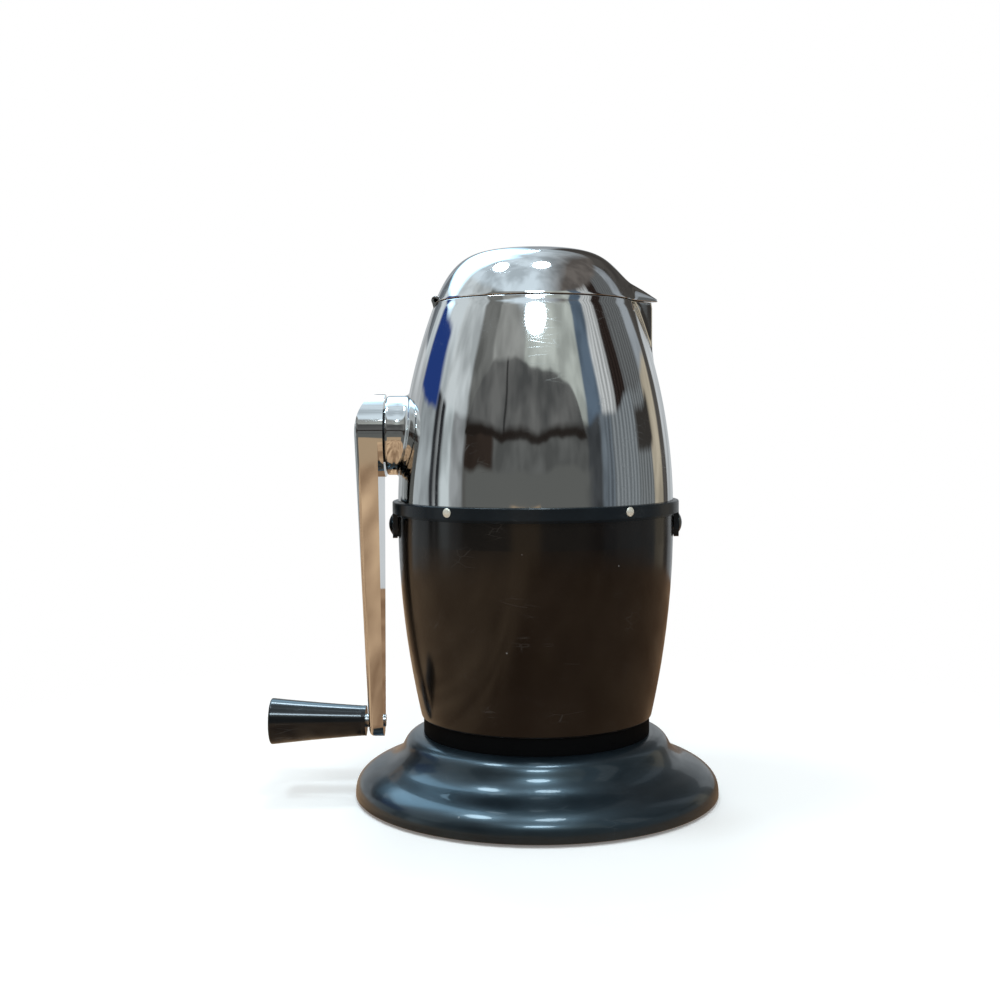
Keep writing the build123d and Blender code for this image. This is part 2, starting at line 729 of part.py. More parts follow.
# Combs: angled steel strips whose prongs stand between the breaker discs
comb_wall_y = chassis_width / 2 - chassis_wall
comb_tip_y = spacer_radius + comb_tip_gap
comb_root_y = disc_tip_radius + comb_root_gap
comb_length = chassis_length - 2 * chassis_corner
with BuildPart() as front_comb:
    with BuildSketch(Plane.YZ):
        with BuildLine():
            Polyline(
                (-comb_wall_y, crank_z - comb_flange_below),
                (-comb_wall_y, crank_z + comb_flange_above),
                (-comb_wall_y + comb_thickness, crank_z + comb_flange_above),
                (-comb_wall_y + comb_thickness, crank_z + comb_prong_thickness / 2),
                (-comb_tip_y - comb_prong_thickness, crank_z + comb_prong_thickness / 2),
                (-comb_tip_y, crank_z),
                (-comb_tip_y - comb_prong_thickness, crank_z - comb_prong_thickness / 2),
                (-comb_wall_y + comb_thickness, crank_z - comb_prong_thickness / 2),
                (-comb_wall_y + comb_thickness, crank_z - comb_flange_below),
                close=True,
            )
        make_face()
    extrude(amount=comb_length / 2, both=True)
    with Locations(*[(x, -comb_root_y, crank_z) for x in disc_places]):
        Box(
            disc_thickness + 2 * comb_slot_gap,
            comb_root_y,
            2 * comb_prong_thickness,
            align=(Align.CENTER, Align.MIN, Align.CENTER),
            mode=Mode.SUBTRACT,
        )
    with Locations(*comb_screw_lines):
        Cylinder(comb_screw_radius + fixed_gap, 2 * chassis_width, mode=Mode.SUBTRACT)
front_comb.part.label = "front_comb"
export_step(front_comb.part, "parts/front_comb.step")

with BuildPart() as rear_comb:
    mirror(front_comb.part, about=Plane.XZ)
rear_comb.part.label = "rear_comb"
export_step(rear_comb.part, "parts/rear_comb.step")

# Screws from outside the chute into the combs
with BuildPart() as comb_screws:
    with Locations(*[line * Pos(0, 0, chassis_width / 2) for line in comb_screw_lines]):
        Cylinder(comb_screw_radius, chassis_wall + comb_thickness, align=from_above)
        Cylinder(comb_screw_head_radius, comb_screw_head_height, align=from_below)
    mirror(about=Plane.XZ)
comb_screws.part.label = "comb_screws"
export_step(comb_screws.part, "parts/comb_screws.step")

# Bushes: flanged bronze sleeves at both ends of the shaft
with BuildPart() as crank_bush:
    with Locations(across(boss_x, crank_z).location):
        Cylinder(sleeve_bore_radius, boss_face + boss_sleeve_length, align=from_below)
    with Locations(across(sleeve_end_x, crank_z).location):
        Cylinder(sleeve_bore_radius + bush_flange, bush_flange_thickness, align=from_below)
    with Locations(across(boss_x, crank_z).location):
        Cylinder(shaft_radius + running_gap, -boss_x, align=from_below, mode=Mode.SUBTRACT)
crank_bush.part.label = "crank_bush"
export_step(crank_bush.part, "parts/crank_bush.step")

with BuildPart() as far_bush:
    with Locations(across(far_wall_x, crank_z).location):
        Cylinder(sleeve_bore_radius, far_end_x - far_wall_x, align=from_below)
        Cylinder(shaft_radius + running_gap, far_end_x, align=from_below, mode=Mode.SUBTRACT)
far_bush.part.label = "far_bush"
export_step(far_bush.part, "parts/far_bush.step")

# Shaft: round at the bushes, hexagonal under the discs, square under the crank arm
with BuildPart() as rotor_shaft:
    with BuildSketch(across(arm_x, crank_z)):
        Circle(shaft_radius)
    extrude(amount=shaft_end_x - arm_x)
    hexagon_end = disc_places[-1] + disc_thickness / 2
    with BuildSketch(across(-hexagon_end, crank_z)):
        RegularPolygon(shaft_radius, 6, major_radius=False)
    extrude(amount=2 * hexagon_end)
    with BuildSketch(across(arm_x, crank_z)):
        Rectangle(drive_square, drive_square)
    extrude(amount=-drive_length)
    with Locations(across(drive_end_x, crank_z).location):
        Cylinder(
            crank_screw_radius + fixed_gap,
            crank_screw_length - crank_screw_head_height - arm_web + screw_end_gap,
            align=from_below,
            mode=Mode.SUBTRACT,
        )
    with BuildSketch(across(clip_x, crank_z)):
        Circle(2 * shaft_radius)
        Circle(shaft_radius - clip_groove_depth, mode=Mode.SUBTRACT)
    extrude(amount=clip_thickness, mode=Mode.SUBTRACT)
rotor_shaft.part.label = "rotor_shaft"
export_step(rotor_shaft.part, "parts/rotor_shaft.step")

# Breaker discs: hooked teeth round a hub, each disc turned by one flat from the last
tooth_front = polar(disc_root_radius - tooth_sink, -tooth_hook)
tooth_tip = polar(disc_tip_radius, tooth_hook)
tooth_swell = polar((disc_tip_radius + disc_root_radius) / 2 + tooth_crown, tooth_hook - tooth_back / 2)
tooth_heel = polar(disc_root_radius - tooth_sink, tooth_hook - tooth_back)
with BuildSketch() as tooth:
    with BuildLine():
        Line(tooth_front, tooth_tip)
        ThreePointArc(tooth_tip, tooth_swell, tooth_heel)
        Line(tooth_heel, tooth_front)
    make_face()

for number, disc_x in enumerate(disc_places):
    with BuildPart() as breaker_disc:
        with BuildSketch(across(disc_x - disc_thickness / 2, crank_z, disc_step * number)):
            Circle(disc_root_radius)
            with PolarLocations(0, disc_teeth):
                add(tooth.sketch)
            RegularPolygon(shaft_radius + fixed_gap, 6, major_radius=False, mode=Mode.SUBTRACT)
        extrude(amount=disc_thickness)
    breaker_disc.part.label = f"breaker_disc_{number + 1}"
    export_step(breaker_disc.part, f"parts/breaker_disc_{number + 1}.step")

# Spacers: sleeves that hold the discs apart and keep the rotor between its bushes
spacer_starts = [rotor_left_x, *[x + disc_thickness / 2 for x in disc_places]]
spacer_ends = [*[x - disc_thickness / 2 for x in disc_places], rotor_right_x]
with BuildPart() as rotor_spacers:
    for number in range(disc_count + 1):
        with BuildSketch(across(spacer_starts[number], crank_z)):
            Circle(spacer_radius)
            RegularPolygon(shaft_radius + fixed_gap, 6, major_radius=False, mode=Mode.SUBTRACT)
        extrude(amount=spacer_ends[number] - spacer_starts[number])
rotor_spacers.part.label = "rotor_spacers"
export_step(rotor_spacers.part, "parts/rotor_spacers.step")

# Clip: open ring in the groove at the far end of the shaft
with BuildPart() as shaft_clip:
    with BuildSketch(across(clip_x, crank_z)):
        Circle(shaft_radius - clip_groove_depth + fixed_gap + clip_width)
        Circle(shaft_radius - clip_groove_depth + fixed_gap, mode=Mode.SUBTRACT)
        Rectangle(clip_opening, 2 * shaft_radius, align=(Align.CENTER, Align.MAX), mode=Mode.SUBTRACT)
    extrude(amount=clip_thickness - fixed_gap)
shaft_clip.part.label = "shaft_clip"
export_step(shaft_clip.part, "parts/shaft_clip.step")

# Washer between the boss and the crank arm
with BuildPart() as thrust_washer:
    with BuildSketch(across(arm_x, crank_z)):
        Circle(washer_radius)
        Circle(shaft_radius + fixed_gap, mode=Mode.SUBTRACT)
    extrude(amount=washer_thickness - running_gap)
thrust_washer.part.label = "thrust_washer"
export_step(thrust_washer.part, "parts/thrust_washer.step")

# Crank arm: tapering lever with a domed hub, flat on the side that faces the boss
hub_top_z = crank_z + arm_hub_radius
arm_bottom_z = handle_z - arm_end_radius
arm_hub_x = arm_x - arm_hub_thickness
arm_slope = (arm_hub_thickness - arm_end_thickness) / crank_throw
with BuildPart() as crank_arm:
    with BuildSketch(Plane.YZ.offset(arm_x)):
        with BuildLine():
            CenterArc((0, crank_z), arm_hub_radius, 0, 360)
            CenterArc((0, handle_z), arm_end_radius, 0, 360)
        make_hull()
    extrude(amount=-2 * arm_hub_thickness)
    with BuildSketch(Plane.XZ):
        with BuildLine():
            Polyline(
                (arm_x, hub_top_z),
                (arm_x, arm_bottom_z),
                (arm_end_x + arm_end_radius * arm_slope, arm_bottom_z),
                (arm_hub_x - arm_hub_radius * arm_slope, hub_top_z),
                close=True,
            )
        make_face()
    extrude(amount=2 * arm_hub_radius, both=True, mode=Mode.INTERSECT)
    fillet(crank_arm.faces().sort_by(Axis.X)[0].edges(), arm_edge_round)
    with BuildSketch(Plane.XZ):
        with BuildLine():
            Polyline(
                (arm_hub_x + arm_dome_depth, hub_top_z),
                (arm_x, hub_top_z),
                (arm_x, arm_bottom_z),
                (arm_hub_x, arm_bottom_z),
                (arm_hub_x, crank_z),
            )
            EllipticalCenterArc(
                (arm_hub_x + arm_dome_depth, crank_z),
                arm_dome_depth,
                arm_hub_radius,
                start_angle=90,
                arc_size=90,
            )
        make_face()
    extrude(amount=2 * arm_hub_radius, both=True, mode=Mode.INTERSECT)
    with BuildSketch(across(arm_x, crank_z)):
        Rectangle(drive_square + 2 * fixed_gap, drive_square + 2 * fixed_gap)
    extrude(amount=-drive_length, mode=Mode.SUBTRACT)
    with Locations(across(arm_hub_x, crank_z).location):
        Cylinder(
            crank_screw_head_radius + fixed_gap,
            crank_screw_head_height,
            align=from_below,
            mode=Mode.SUBTRACT,
        )
        Cylinder(crank_screw_radius + fixed_gap, arm_hub_thickness, align=from_below, mode=Mode.SUBTRACT)
    # Inner face set back from the face of the hub, all the way down the shank
    with BuildSketch(across(arm_shank_x, crank_z)):
        Circle(arm_hub_radius + 2 * crank_throw)
        Circle(arm_hub_radius + fixed_gap, mode=Mode.SUBTRACT)
    extrude(amount=2 * arm_relief, mode=Mode.SUBTRACT)
    with Locations(across(arm_x, handle_z).location):
        Cylinder(stud_rivet_radius + fixed_gap, arm_hub_thickness, align=from_above, mode=Mode.SUBTRACT)
    with Locations(across(arm_end_x, handle_z).location):
        Cylinder(grip_inner_radius, arm_hub_thickness, align=from_above, mode=Mode.SUBTRACT)
crank_arm.part.label = "crank_arm"
export_step(crank_arm.part, "parts/crank_arm.step")

# Screw that draws the crank arm on to the shaft
with BuildPart() as crank_screw:
    with Locations(across(arm_hub_x, crank_z).location):
        Cylinder(crank_screw_head_radius, crank_screw_head_height - fixed_gap, align=from_below)
        Cylinder(crank_screw_radius, crank_screw_length, align=from_below)
crank_screw.part.label = "crank_screw"
export_step(crank_screw.part, "parts/crank_screw.step")

# Stud: riveted through the end of the arm, it carries the grip between a shoulder and a head
recess_floor_x = grip_end_x + grip_recess_depth
with BuildPart() as handle_stud:
    with Locations(across(arm_shank_x + stud_tail_height, handle_z).location):
        Cylinder(stud_tail_radius, stud_tail_height, align=from_above)
        Cylinder(stud_rivet_radius, stud_tail_height + arm_shank_x - arm_end_x, align=from_above)
    with Locations(across(arm_end_x, handle_z).location):
        Cylinder(stud_radius, arm_end_x - recess_floor_x + side_gap + stud_head_height, align=from_above)
    with Locations(across(recess_floor_x - side_gap, handle_z).location):
        Cylinder(stud_head_radius, stud_head_height, align=from_above)
handle_stud.part.label = "handle_stud"
export_step(handle_stud.part, "parts/handle_stud.step")

# Grip: black turned handle, fatter at its outer end
with BuildPart() as handle_grip:
    with BuildSketch(Plane.XZ):
        with BuildLine():
            Polyline(
                (grip_end_x, handle_z + stud_head_radius + lift_gap),
                (recess_floor_x, handle_z + stud_head_radius + lift_gap),
                (recess_floor_x, handle_z + stud_radius + running_gap),
                (grip_x, handle_z + stud_radius + running_gap),
                (grip_x, handle_z + grip_inner_radius),
                (grip_x - grip_neck_length, handle_z + grip_inner_radius),
            )
            SagittaArc(
                (grip_x - grip_neck_length, handle_z + grip_inner_radius),
                (grip_end_x, handle_z + grip_outer_radius),
                grip_hollow,
            )
            Line(
                (grip_end_x, handle_z + grip_outer_radius),
                (grip_end_x, handle_z + stud_head_radius + lift_gap),
            )
        make_face()
    revolve(axis=handle_line)
    fillet(handle_grip.edges().group_by(Axis.X)[0].sort_by(SortBy.LENGTH)[-1], grip_end_round)
handle_grip.part.label = "handle_grip"
export_step(handle_grip.part, "parts/handle_grip.step")

# Lid: domed chrome cap whose beak lies over the beak of the housing
lid_rim = (mouth_radius, lid_bottom)
lid_waist = (mouth_radius - lid_waist_inset, lid_bottom + lid_waist_height)
lid_shoulder = (mouth_radius - lid_shoulder_inset, lid_bottom + lid_shoulder_height)
lid_crown = (0, lid_top)
lid_tip = beak_reach + lid_beak_overhang


def lid_outline(thickness):
    """Closed half section of the dome, set in by a wall thickness."""
    rim = (mouth_radius - thickness, lid_bottom)
    crown = (0, lid_top - thickness)
    Polyline(crown, (0, lid_bottom), rim)
    Spline(
        rim,
        inset(lid_rim, lid_waist, lid_shoulder, thickness),
        inset(lid_waist, lid_shoulder, lid_crown, thickness),
        crown,
        tangents=((-lid_rim_lean, 1), (-1, 0)),
    )


with BuildPart() as lid:
    with BuildSketch(Plane.XZ):
        with BuildLine():
            lid_outline(0)
        make_face()
    revolve(axis=Axis.Z)
    beak_taper = beak_half_width / (beak_reach - beak_root)
    beak_stations = [(mouth_radius + reach, ridge) for reach, ridge in lid_beak_stations]
    beak_sections = [(x, ridge, beak_taper * (lid_tip - x)) for x, ridge in beak_stations]
    beak_sections.append((lid_tip, lid_beak_tip_height, lid_beak_tip_width))
    for section_x, ridge, half_width in beak_sections:
        with BuildSketch(across(section_x, lid_bottom)):
            with BuildLine():
                Line((-half_width, 0), (half_width, 0))
                ThreePointArc((half_width, 0), (0, ridge), (-half_width, 0))
            make_face()
    loft()
    fillet(lid.edges(Select.NEW), lid_beak_root_round)
    with BuildSketch(Plane.XZ):
        with BuildLine():
            lid_outline(wall)
        make_face()
    revolve(axis=Axis.Z, mode=Mode.SUBTRACT)
    # Knuckle between the knuckles of the housing, with room for those cut out of the rim
    with BuildSketch(Plane.XZ):
        with Locations((hinge_x, hinge_z)):
            Circle(hinge_barrel_radius + hinge_relief)
    extrude(amount=hinge_width / 2 + side_gap, both=True, mode=Mode.SUBTRACT)
    with BuildSketch(Plane.XZ):
        with Locations((hinge_x, hinge_z)):
            Circle(hinge_barrel_radius)
            with Locations((0, -hinge_rise + seam_gap)):
                Rectangle(
                    2 * hinge_barrel_radius,
                    hinge_barrel_radius + hinge_rise - seam_gap,
                    align=(Align.MIN, Align.MIN),
                )
    extrude(amount=lid_knuckle_width / 2, both=True)
    with BuildSketch(Plane.XZ):
        with Locations((hinge_x, hinge_z)):
            Circle(hinge_pin_radius + running_gap)
    extrude(amount=hinge_width, both=True, mode=Mode.SUBTRACT)
lid.part.label = "lid"
export_step(lid.part, "parts/lid.step")

# Pin of the lid hinge
with BuildPart() as hinge_pin:
    with Locations((hinge_x, 0, hinge_z)):
        Cylinder(hinge_pin_radius, hinge_width, rotation=(90, 0, 0))
hinge_pin.part.label = "hinge_pin"
export_step(hinge_pin.part, "parts/hinge_pin.step")
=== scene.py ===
import json
import math

import bpy
from mathutils import Matrix, Vector


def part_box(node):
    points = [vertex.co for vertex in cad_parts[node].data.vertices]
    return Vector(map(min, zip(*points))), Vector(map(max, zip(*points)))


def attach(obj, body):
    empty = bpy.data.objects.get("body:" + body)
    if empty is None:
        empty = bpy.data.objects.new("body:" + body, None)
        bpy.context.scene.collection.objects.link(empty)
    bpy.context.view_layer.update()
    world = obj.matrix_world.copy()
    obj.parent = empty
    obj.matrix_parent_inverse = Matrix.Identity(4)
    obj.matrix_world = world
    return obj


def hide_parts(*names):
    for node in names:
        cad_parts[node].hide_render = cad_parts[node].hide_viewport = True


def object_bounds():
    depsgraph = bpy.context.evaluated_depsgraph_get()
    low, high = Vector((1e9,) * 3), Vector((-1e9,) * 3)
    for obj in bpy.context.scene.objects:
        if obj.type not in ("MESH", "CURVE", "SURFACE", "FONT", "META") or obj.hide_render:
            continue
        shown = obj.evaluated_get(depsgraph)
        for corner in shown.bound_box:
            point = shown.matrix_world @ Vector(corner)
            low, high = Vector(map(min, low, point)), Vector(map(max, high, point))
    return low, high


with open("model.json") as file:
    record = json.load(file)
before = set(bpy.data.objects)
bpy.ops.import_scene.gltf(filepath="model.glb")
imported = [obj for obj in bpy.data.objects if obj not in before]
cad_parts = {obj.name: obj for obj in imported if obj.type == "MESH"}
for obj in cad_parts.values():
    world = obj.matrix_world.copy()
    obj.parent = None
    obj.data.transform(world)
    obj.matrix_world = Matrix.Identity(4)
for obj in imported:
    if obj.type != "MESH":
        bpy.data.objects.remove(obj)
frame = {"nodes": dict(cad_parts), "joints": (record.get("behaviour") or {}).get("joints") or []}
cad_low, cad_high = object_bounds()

# Foot ring: a soft black rubber channel that stretches over the round rib under the base.
# It is moulded in one piece, lies flat on the table and keeps the crusher from sliding.
mm = 0.001


def add_node(tree, kind, inputs, **settings):
    """Shader node of a kind, with values or links on its inputs, and with its settings."""
    node = tree.nodes.new("ShaderNode" + kind)
    for name, value in settings.items():
        setattr(node, name, value)
    for name, value in inputs.items():
        if isinstance(value, bpy.types.NodeSocket):
            tree.links.new(value, node.inputs[name])
        else:
            node.inputs[name].default_value = value
    return node


def math_node(tree, operation, first, second):
    """Result of one sum on two values."""
    return add_node(tree, "Math", {0: first, 1: second}, operation=operation).outputs[0]


def product(tree, first, second):
    """Product of two values."""
    return math_node(tree, "MULTIPLY", first, second)


def noise(tree, place, scale, detail):
    """Even noise over a piece, with its scale in cells for each metre."""
    inputs = {"Vector": place, "Scale": scale, "Detail": detail, "Roughness": 0.55}
    return add_node(tree, "TexNoise", inputs, noise_dimensions="3D").outputs["Fac"]


def between(tree, value, low, high, low_result=0.0, high_result=1.0):
    """Value mapped from one range to another, held inside it."""
    inputs = {"Value": value, "From Min": low, "From Max": high, "To Min": low_result, "To Max": high_result}
    return add_node(tree, "MapRange", inputs, clamp=True).outputs["Result"]


def mixed(tree, share, first, second):
    """Colour between two colours."""
    inputs = {"Factor": share, 6: first, 7: second}
    return add_node(tree, "Mix", inputs, data_type="RGBA").outputs[2]


def new_group(name, inputs, outputs):
    """Empty node group with named number inputs and outputs."""
    group = bpy.data.node_groups.new(name, "ShaderNodeTree")
    for label, value in inputs.items():
        socket = group.interface.new_socket(label, in_out="INPUT", socket_type="NodeSocketFloat")
        socket.default_value = value
    for label in outputs:
        group.interface.new_socket(label, in_out="OUTPUT", socket_type="NodeSocketFloat")
    given = group.nodes.new("NodeGroupInput")
    results = group.nodes.new("NodeGroupOutput")
    return group, given.outputs, results.inputs


# Marks of use that every finish shares: slow mottling, hair scratches, specks of dust and a fine skin
marks, given, results = new_group(
    "marks_of_use",
    {"Mottle Scale": 40.0, "Skin Scale": 1500.0, "Speck Scale": 220.0},
    ("Mottle", "Scratch", "Speck", "Skin"),
)
place = marks.nodes.new("ShaderNodeTexCoord").outputs["Object"]
marks.links.new(noise(marks, place, given["Mottle Scale"], 4.0), results["Mottle"])
marks.links.new(noise(marks, place, given["Skin Scale"], 2.0), results["Skin"])
clean_share = 0.88
largest_speck = 0.10
speck_softness = 0.02
speck_place = {"Vector": place, "Scale": given["Speck Scale"]}
cells = add_node(marks, "TexVoronoi", speck_place, feature="F1")
chance = add_node(marks, "SeparateColor", {"Color": cells.outputs["Color"]})
speck_size = between(marks, chance.outputs["Red"], clean_share, 1.0, 0.0, largest_speck)
speck_edge = math_node(marks, "SUBTRACT", speck_size, cells.outputs["Distance"])
marks.links.new(between(marks, speck_edge, 0.0, speck_softness), results["Speck"])
stroke_scale = (30.0, 260.0, 260.0)
stroke_width = 0.025
scratch_total = 0.0
for turn, lean in ((0.5, 0.3), (-0.9, 1.1)):
    stroke_place = {"Vector": place, "Rotation": (lean, turn, turn * 2), "Scale": stroke_scale}
    strokes = add_node(marks, "Mapping", stroke_place).outputs["Vector"]
    stroke_cells = {"Vector": strokes, "Scale": 1.0}
    edges = add_node(marks, "TexVoronoi", stroke_cells, feature="DISTANCE_TO_EDGE")
    line = between(marks, edges.outputs["Distance"], 0.0, stroke_width, 1.0, 0.0)
    patch = between(marks, noise(marks, place, 45.0 + 20.0 * lean, 1.0), 0.62, 0.70)
    scratch = product(marks, line, patch)
    scratch_total = math_node(marks, "MAXIMUM", scratch_total, scratch)
marks.links.new(scratch_total, results["Scratch"])


def new_finish(name, mottle, skin, speck):
    """Material with its own shader and the marks of use placed in it."""
    material = bpy.data.materials.new(name)
    material.use_nodes = True
    tree = material.node_tree
    scales = {"Mottle Scale": mottle, "Skin Scale": skin, "Speck Scale": speck}
    used = add_node(tree, "Group", scales, node_tree=marks)
    return material, tree, used.outputs, tree.nodes["Principled BSDF"].inputs


def marked(tree, mark, strength, tone, mark_tone):
    """Colour that turns to the colour of a mark, by its strength, where the mark is."""
    return mixed(tree, product(tree, mark, strength), tone, mark_tone)


def raised(tree, height, distance, strength):
    """Normal of a surface with small heights on it."""
    inputs = {"Height": height, "Distance": distance, "Strength": strength}
    return add_node(tree, "Bump", inputs).outputs["Normal"]


def satin(tree, used, shader, tone, smooth, rough, depth, strength):
    """Gives a finish its colour, and lets its fine skin vary its roughness and stand out a little."""
    tree.links.new(tone, shader["Base Color"])
    tree.links.new(between(tree, used["Skin"], 0.3, 0.7, smooth, rough), shader["Roughness"])
    tree.links.new(raised(tree, used["Skin"], depth, strength), shader["Normal"])


rubber, tree, used, shader = new_finish("black_rubber", mottle=60.0, skin=2600.0, speck=260.0)
rubber_tone = mixed(tree, used["Mottle"], (0.010, 0.010, 0.011, 1), (0.022, 0.022, 0.023, 1))
rubber_dusty = marked(tree, used["Speck"], 0.4, rubber_tone, (0.16, 0.15, 0.14, 1))
satin(tree, used, shader, rubber_dusty, smooth=0.6, rough=0.8, depth=0.05 * mm, strength=0.6)


def finish_nodes(material, *names):
    """Gives the carried-over pieces of these names one material."""
    for name in names:
        mesh = frame["nodes"][name].data
        mesh.materials.clear()
        mesh.materials.append(material)


finish_nodes(rubber, "foot_ring")

# Base: the heavy foot, a black gloss moulding with an ogee skirt, a socket for the cup and six gussets.
# It is injection moulded, so its skin is smooth with a faint orange peel and fine handling scratches.
def gloss_moulding(name, tones, smooth, worn, coat, shine):
    """Gloss plastic in two dark tones under a polished skin, with scratches and dust that show pale."""
    material, tree, used, shader = new_finish(name, mottle=34.0, skin=900.0, speck=150.0)
    tone = mixed(tree, between(tree, used["Mottle"], 0.35, 0.65), *tones)
    scuffed = marked(tree, used["Scratch"], 0.10, tone, (0.20, 0.19, 0.18, 1))
    dusty = marked(tree, used["Speck"], 0.35, scuffed, (0.40, 0.39, 0.37, 1))
    tree.links.new(dusty, shader["Base Color"])
    gloss = between(tree, used["Mottle"], 0.3, 0.7, smooth, worn)
    scraped = product(tree, used["Scratch"], 0.12)
    tree.links.new(math_node(tree, "ADD", gloss, scraped), shader["Roughness"])
    tree.links.new(raised(tree, used["Skin"], 0.01 * mm, 0.35), shader["Normal"])
    shader["IOR"].default_value = 1.5
    shader["Coat Weight"].default_value = coat
    shader["Coat Roughness"].default_value = 0.05
    shader["Specular IOR Level"].default_value = shine
    return material


base_tones = ((0.005, 0.008, 0.011, 1), (0.009, 0.014, 0.018, 1))
black_gloss = gloss_moulding("black_gloss_plastic", base_tones, smooth=0.27, worn=0.38, coat=0.45, shine=0.8)
cool_shine = (0.62, 0.86, 1.0, 1)
black_gloss.node_tree.nodes["Principled BSDF"].inputs["Specular Tint"].default_value = cool_shine
merge_distance = 0.002 * mm
pole_radius = 0.001 * mm
smooth_angle = math.radians(38)


def only(piece):
    """Makes one piece the selected and active one."""
    bpy.ops.object.select_all(action="DESELECT")
    piece.select_set(True)
    bpy.context.view_layer.objects.active = piece


def joined(first, pieces):
    """Joins pieces into the first one."""
    only(first)
    for piece in pieces:
        piece.select_set(True)
    bpy.ops.object.join()


def face_outwards(piece):
    """Turns all faces of a piece outwards."""
    only(piece)
    bpy.ops.object.mode_set(mode="EDIT")
    bpy.ops.mesh.select_all(action="SELECT")
    bpy.ops.mesh.normals_make_consistent(inside=False)
    bpy.ops.object.mode_set(mode="OBJECT")


def turned(name, outline, sides):
    """Piece turned about the Z axis: a ring at the first point of its outline, extruded along the others."""
    bpy.ops.object.select_all(action="DESELECT")
    radius, height = outline[0]
    bpy.ops.mesh.primitive_circle_add(vertices=sides, radius=radius, location=(0, 0, height))
    piece = bpy.context.object
    piece.name = name
    bpy.ops.object.transform_apply()
    bpy.ops.object.mode_set(mode="EDIT")
    for next_radius, next_height in outline[1:]:
        bpy.ops.mesh.extrude_region_move(TRANSFORM_OT_translate={"value": (0, 0, next_height - height)})
        growth = next_radius / radius
        bpy.ops.transform.resize(value=(growth, growth, 1), center_override=(0, 0, 0))
        radius, height = next_radius, next_height
    bpy.ops.mesh.select_all(action="SELECT")
    bpy.ops.mesh.remove_doubles(threshold=merge_distance)
    bpy.ops.mesh.normals_make_consistent(inside=False)
    bpy.ops.object.mode_set(mode="OBJECT")
    return piece


def drawn_curve(controls):
    """Points along the smooth line that a few control points, each a radius and a height, draw."""
    line = bpy.data.curves.new("drawn_curve", "CURVE")
    line.dimensions = "3D"
    spline = line.splines.new("NURBS")
    spline.points.add(len(controls) - 1)
    for point, (radius, height) in zip(spline.points, controls):
        point.co = (radius, 0, height, 1)
    spline.order_u = 4
    spline.use_endpoint_u = True
    line.resolution_u = 12
    holder = bpy.data.objects.new("drawn_curve", line)
    sampled = bpy.data.meshes.new_from_object(holder)
    points = [(vertex.co.x, vertex.co.z) for vertex in sampled.vertices]
    bpy.data.objects.remove(holder)
    bpy.data.curves.remove(line)
    bpy.data.meshes.remove(sampled)
    return points


def round_axis(out, side, height, turn):
    """Point at a height, out from the axis and to the side of that line, turned about the axis."""
    along = out * math.cos(turn) - side * math.sin(turn)
    return along, out * math.sin(turn) + side * math.cos(turn), height


def finish_piece(piece, material, body, slot, *nodes):
    """Smooths a new piece, gives it its material and puts it in the place of carried-over pieces."""
    only(piece)
    bpy.ops.object.shade_smooth_by_angle(angle=smooth_angle)
    piece.data.materials.clear()
    piece.data.materials.append(material)
    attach(piece, body)
    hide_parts(*nodes)


base_low, base_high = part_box("base")
gasket_low, gasket_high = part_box("cup_gasket")
foot_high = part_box("foot_ring")[1]
base_sides = 256
base_wall = 3.0 * mm
base_edge = 0.4 * mm
socket_radius = gasket_high.y
socket_floor = 22.0 * mm
seat_radius = socket_radius - 3.7 * mm
skirt_radius = base_high.y - 0.001 * mm
skirt_bend = 4.6 * mm
shoulder_radius = 54.2 * mm
skirt_controls = ((59.3, 27.1), (60.8, 22.6), (64.4, 18.0), (68.9, 15.3), (75.4, 13.3), (82.0, 8.8))
ogee = [(socket_radius, base_high.z), (shoulder_radius, base_high.z)]
ogee += [(radius * mm, height * mm) for radius, height in skirt_controls]
ogee += [(skirt_radius, skirt_bend), (skirt_radius, base_low.z + base_edge)]
# Under the skirt is a cavity with a round rib for the foot ring, and the roof is the floor of the socket
foot_rib = foot_high.y - 3.7 * mm
foot_rib_half = 1.5 * mm
foot_rib_bottom = 2.4 * mm
cavity = [(76.5 * mm, 9.1 * mm), (62.4 * mm, 16.5 * mm)]
cavity_foot = 5.1 * mm
roof_radius = 58.1 * mm
roof = socket_floor - base_wall
cavity_slope = (cavity[1][1] - cavity[0][1]) / (cavity[1][0] - cavity[0][0])
rib_sides = [foot_rib + foot_rib_half, foot_rib - foot_rib_half]
rib_tops = [cavity[0][1] + cavity_slope * (side - cavity[0][0]) for side in rib_sides]
base_outline = drawn_curve(ogee)
base_outline += [(skirt_radius - base_edge, base_low.z), (skirt_radius - base_wall, base_low.z)]
base_outline += [(skirt_radius - base_wall, cavity_foot), cavity[0], (rib_sides[0], rib_tops[0])]
base_outline += [(rib_sides[0], foot_rib_bottom), (rib_sides[1], foot_rib_bottom)]
base_outline += [(rib_sides[1], rib_tops[1]), cavity[1], (roof_radius, roof), (pole_radius, roof)]
base_outline += [(pole_radius, socket_floor), (seat_radius, socket_floor), (seat_radius, gasket_low.z)]
base_outline += [(socket_radius, gasket_low.z), (socket_radius, base_high.z)]
base = turned("ogee_base", base_outline, base_sides)
gusset_count = 6
gusset_half = 1.0 * mm
gusset_foot = 6.0 * mm
gusset_corners = [(foot_rib, gusset_foot), cavity[0], cavity[1]]
gussets = []
for number in range(gusset_count):
    bpy.ops.object.select_all(action="DESELECT")
    bpy.ops.mesh.primitive_cylinder_add(vertices=3, radius=1.0, depth=2.0)
    gusset = bpy.context.object
    turn = 2 * math.pi * number / gusset_count
    for vertex in gusset.data.vertices:
        corner = round(math.atan2(vertex.co.x, vertex.co.y) / (2 * math.pi / 3)) % 3
        radius, height = gusset_corners[corner]
        side = math.copysign(gusset_half, vertex.co.z)
        vertex.co = round_axis(radius, side, height, turn)
    gussets.append(gusset)
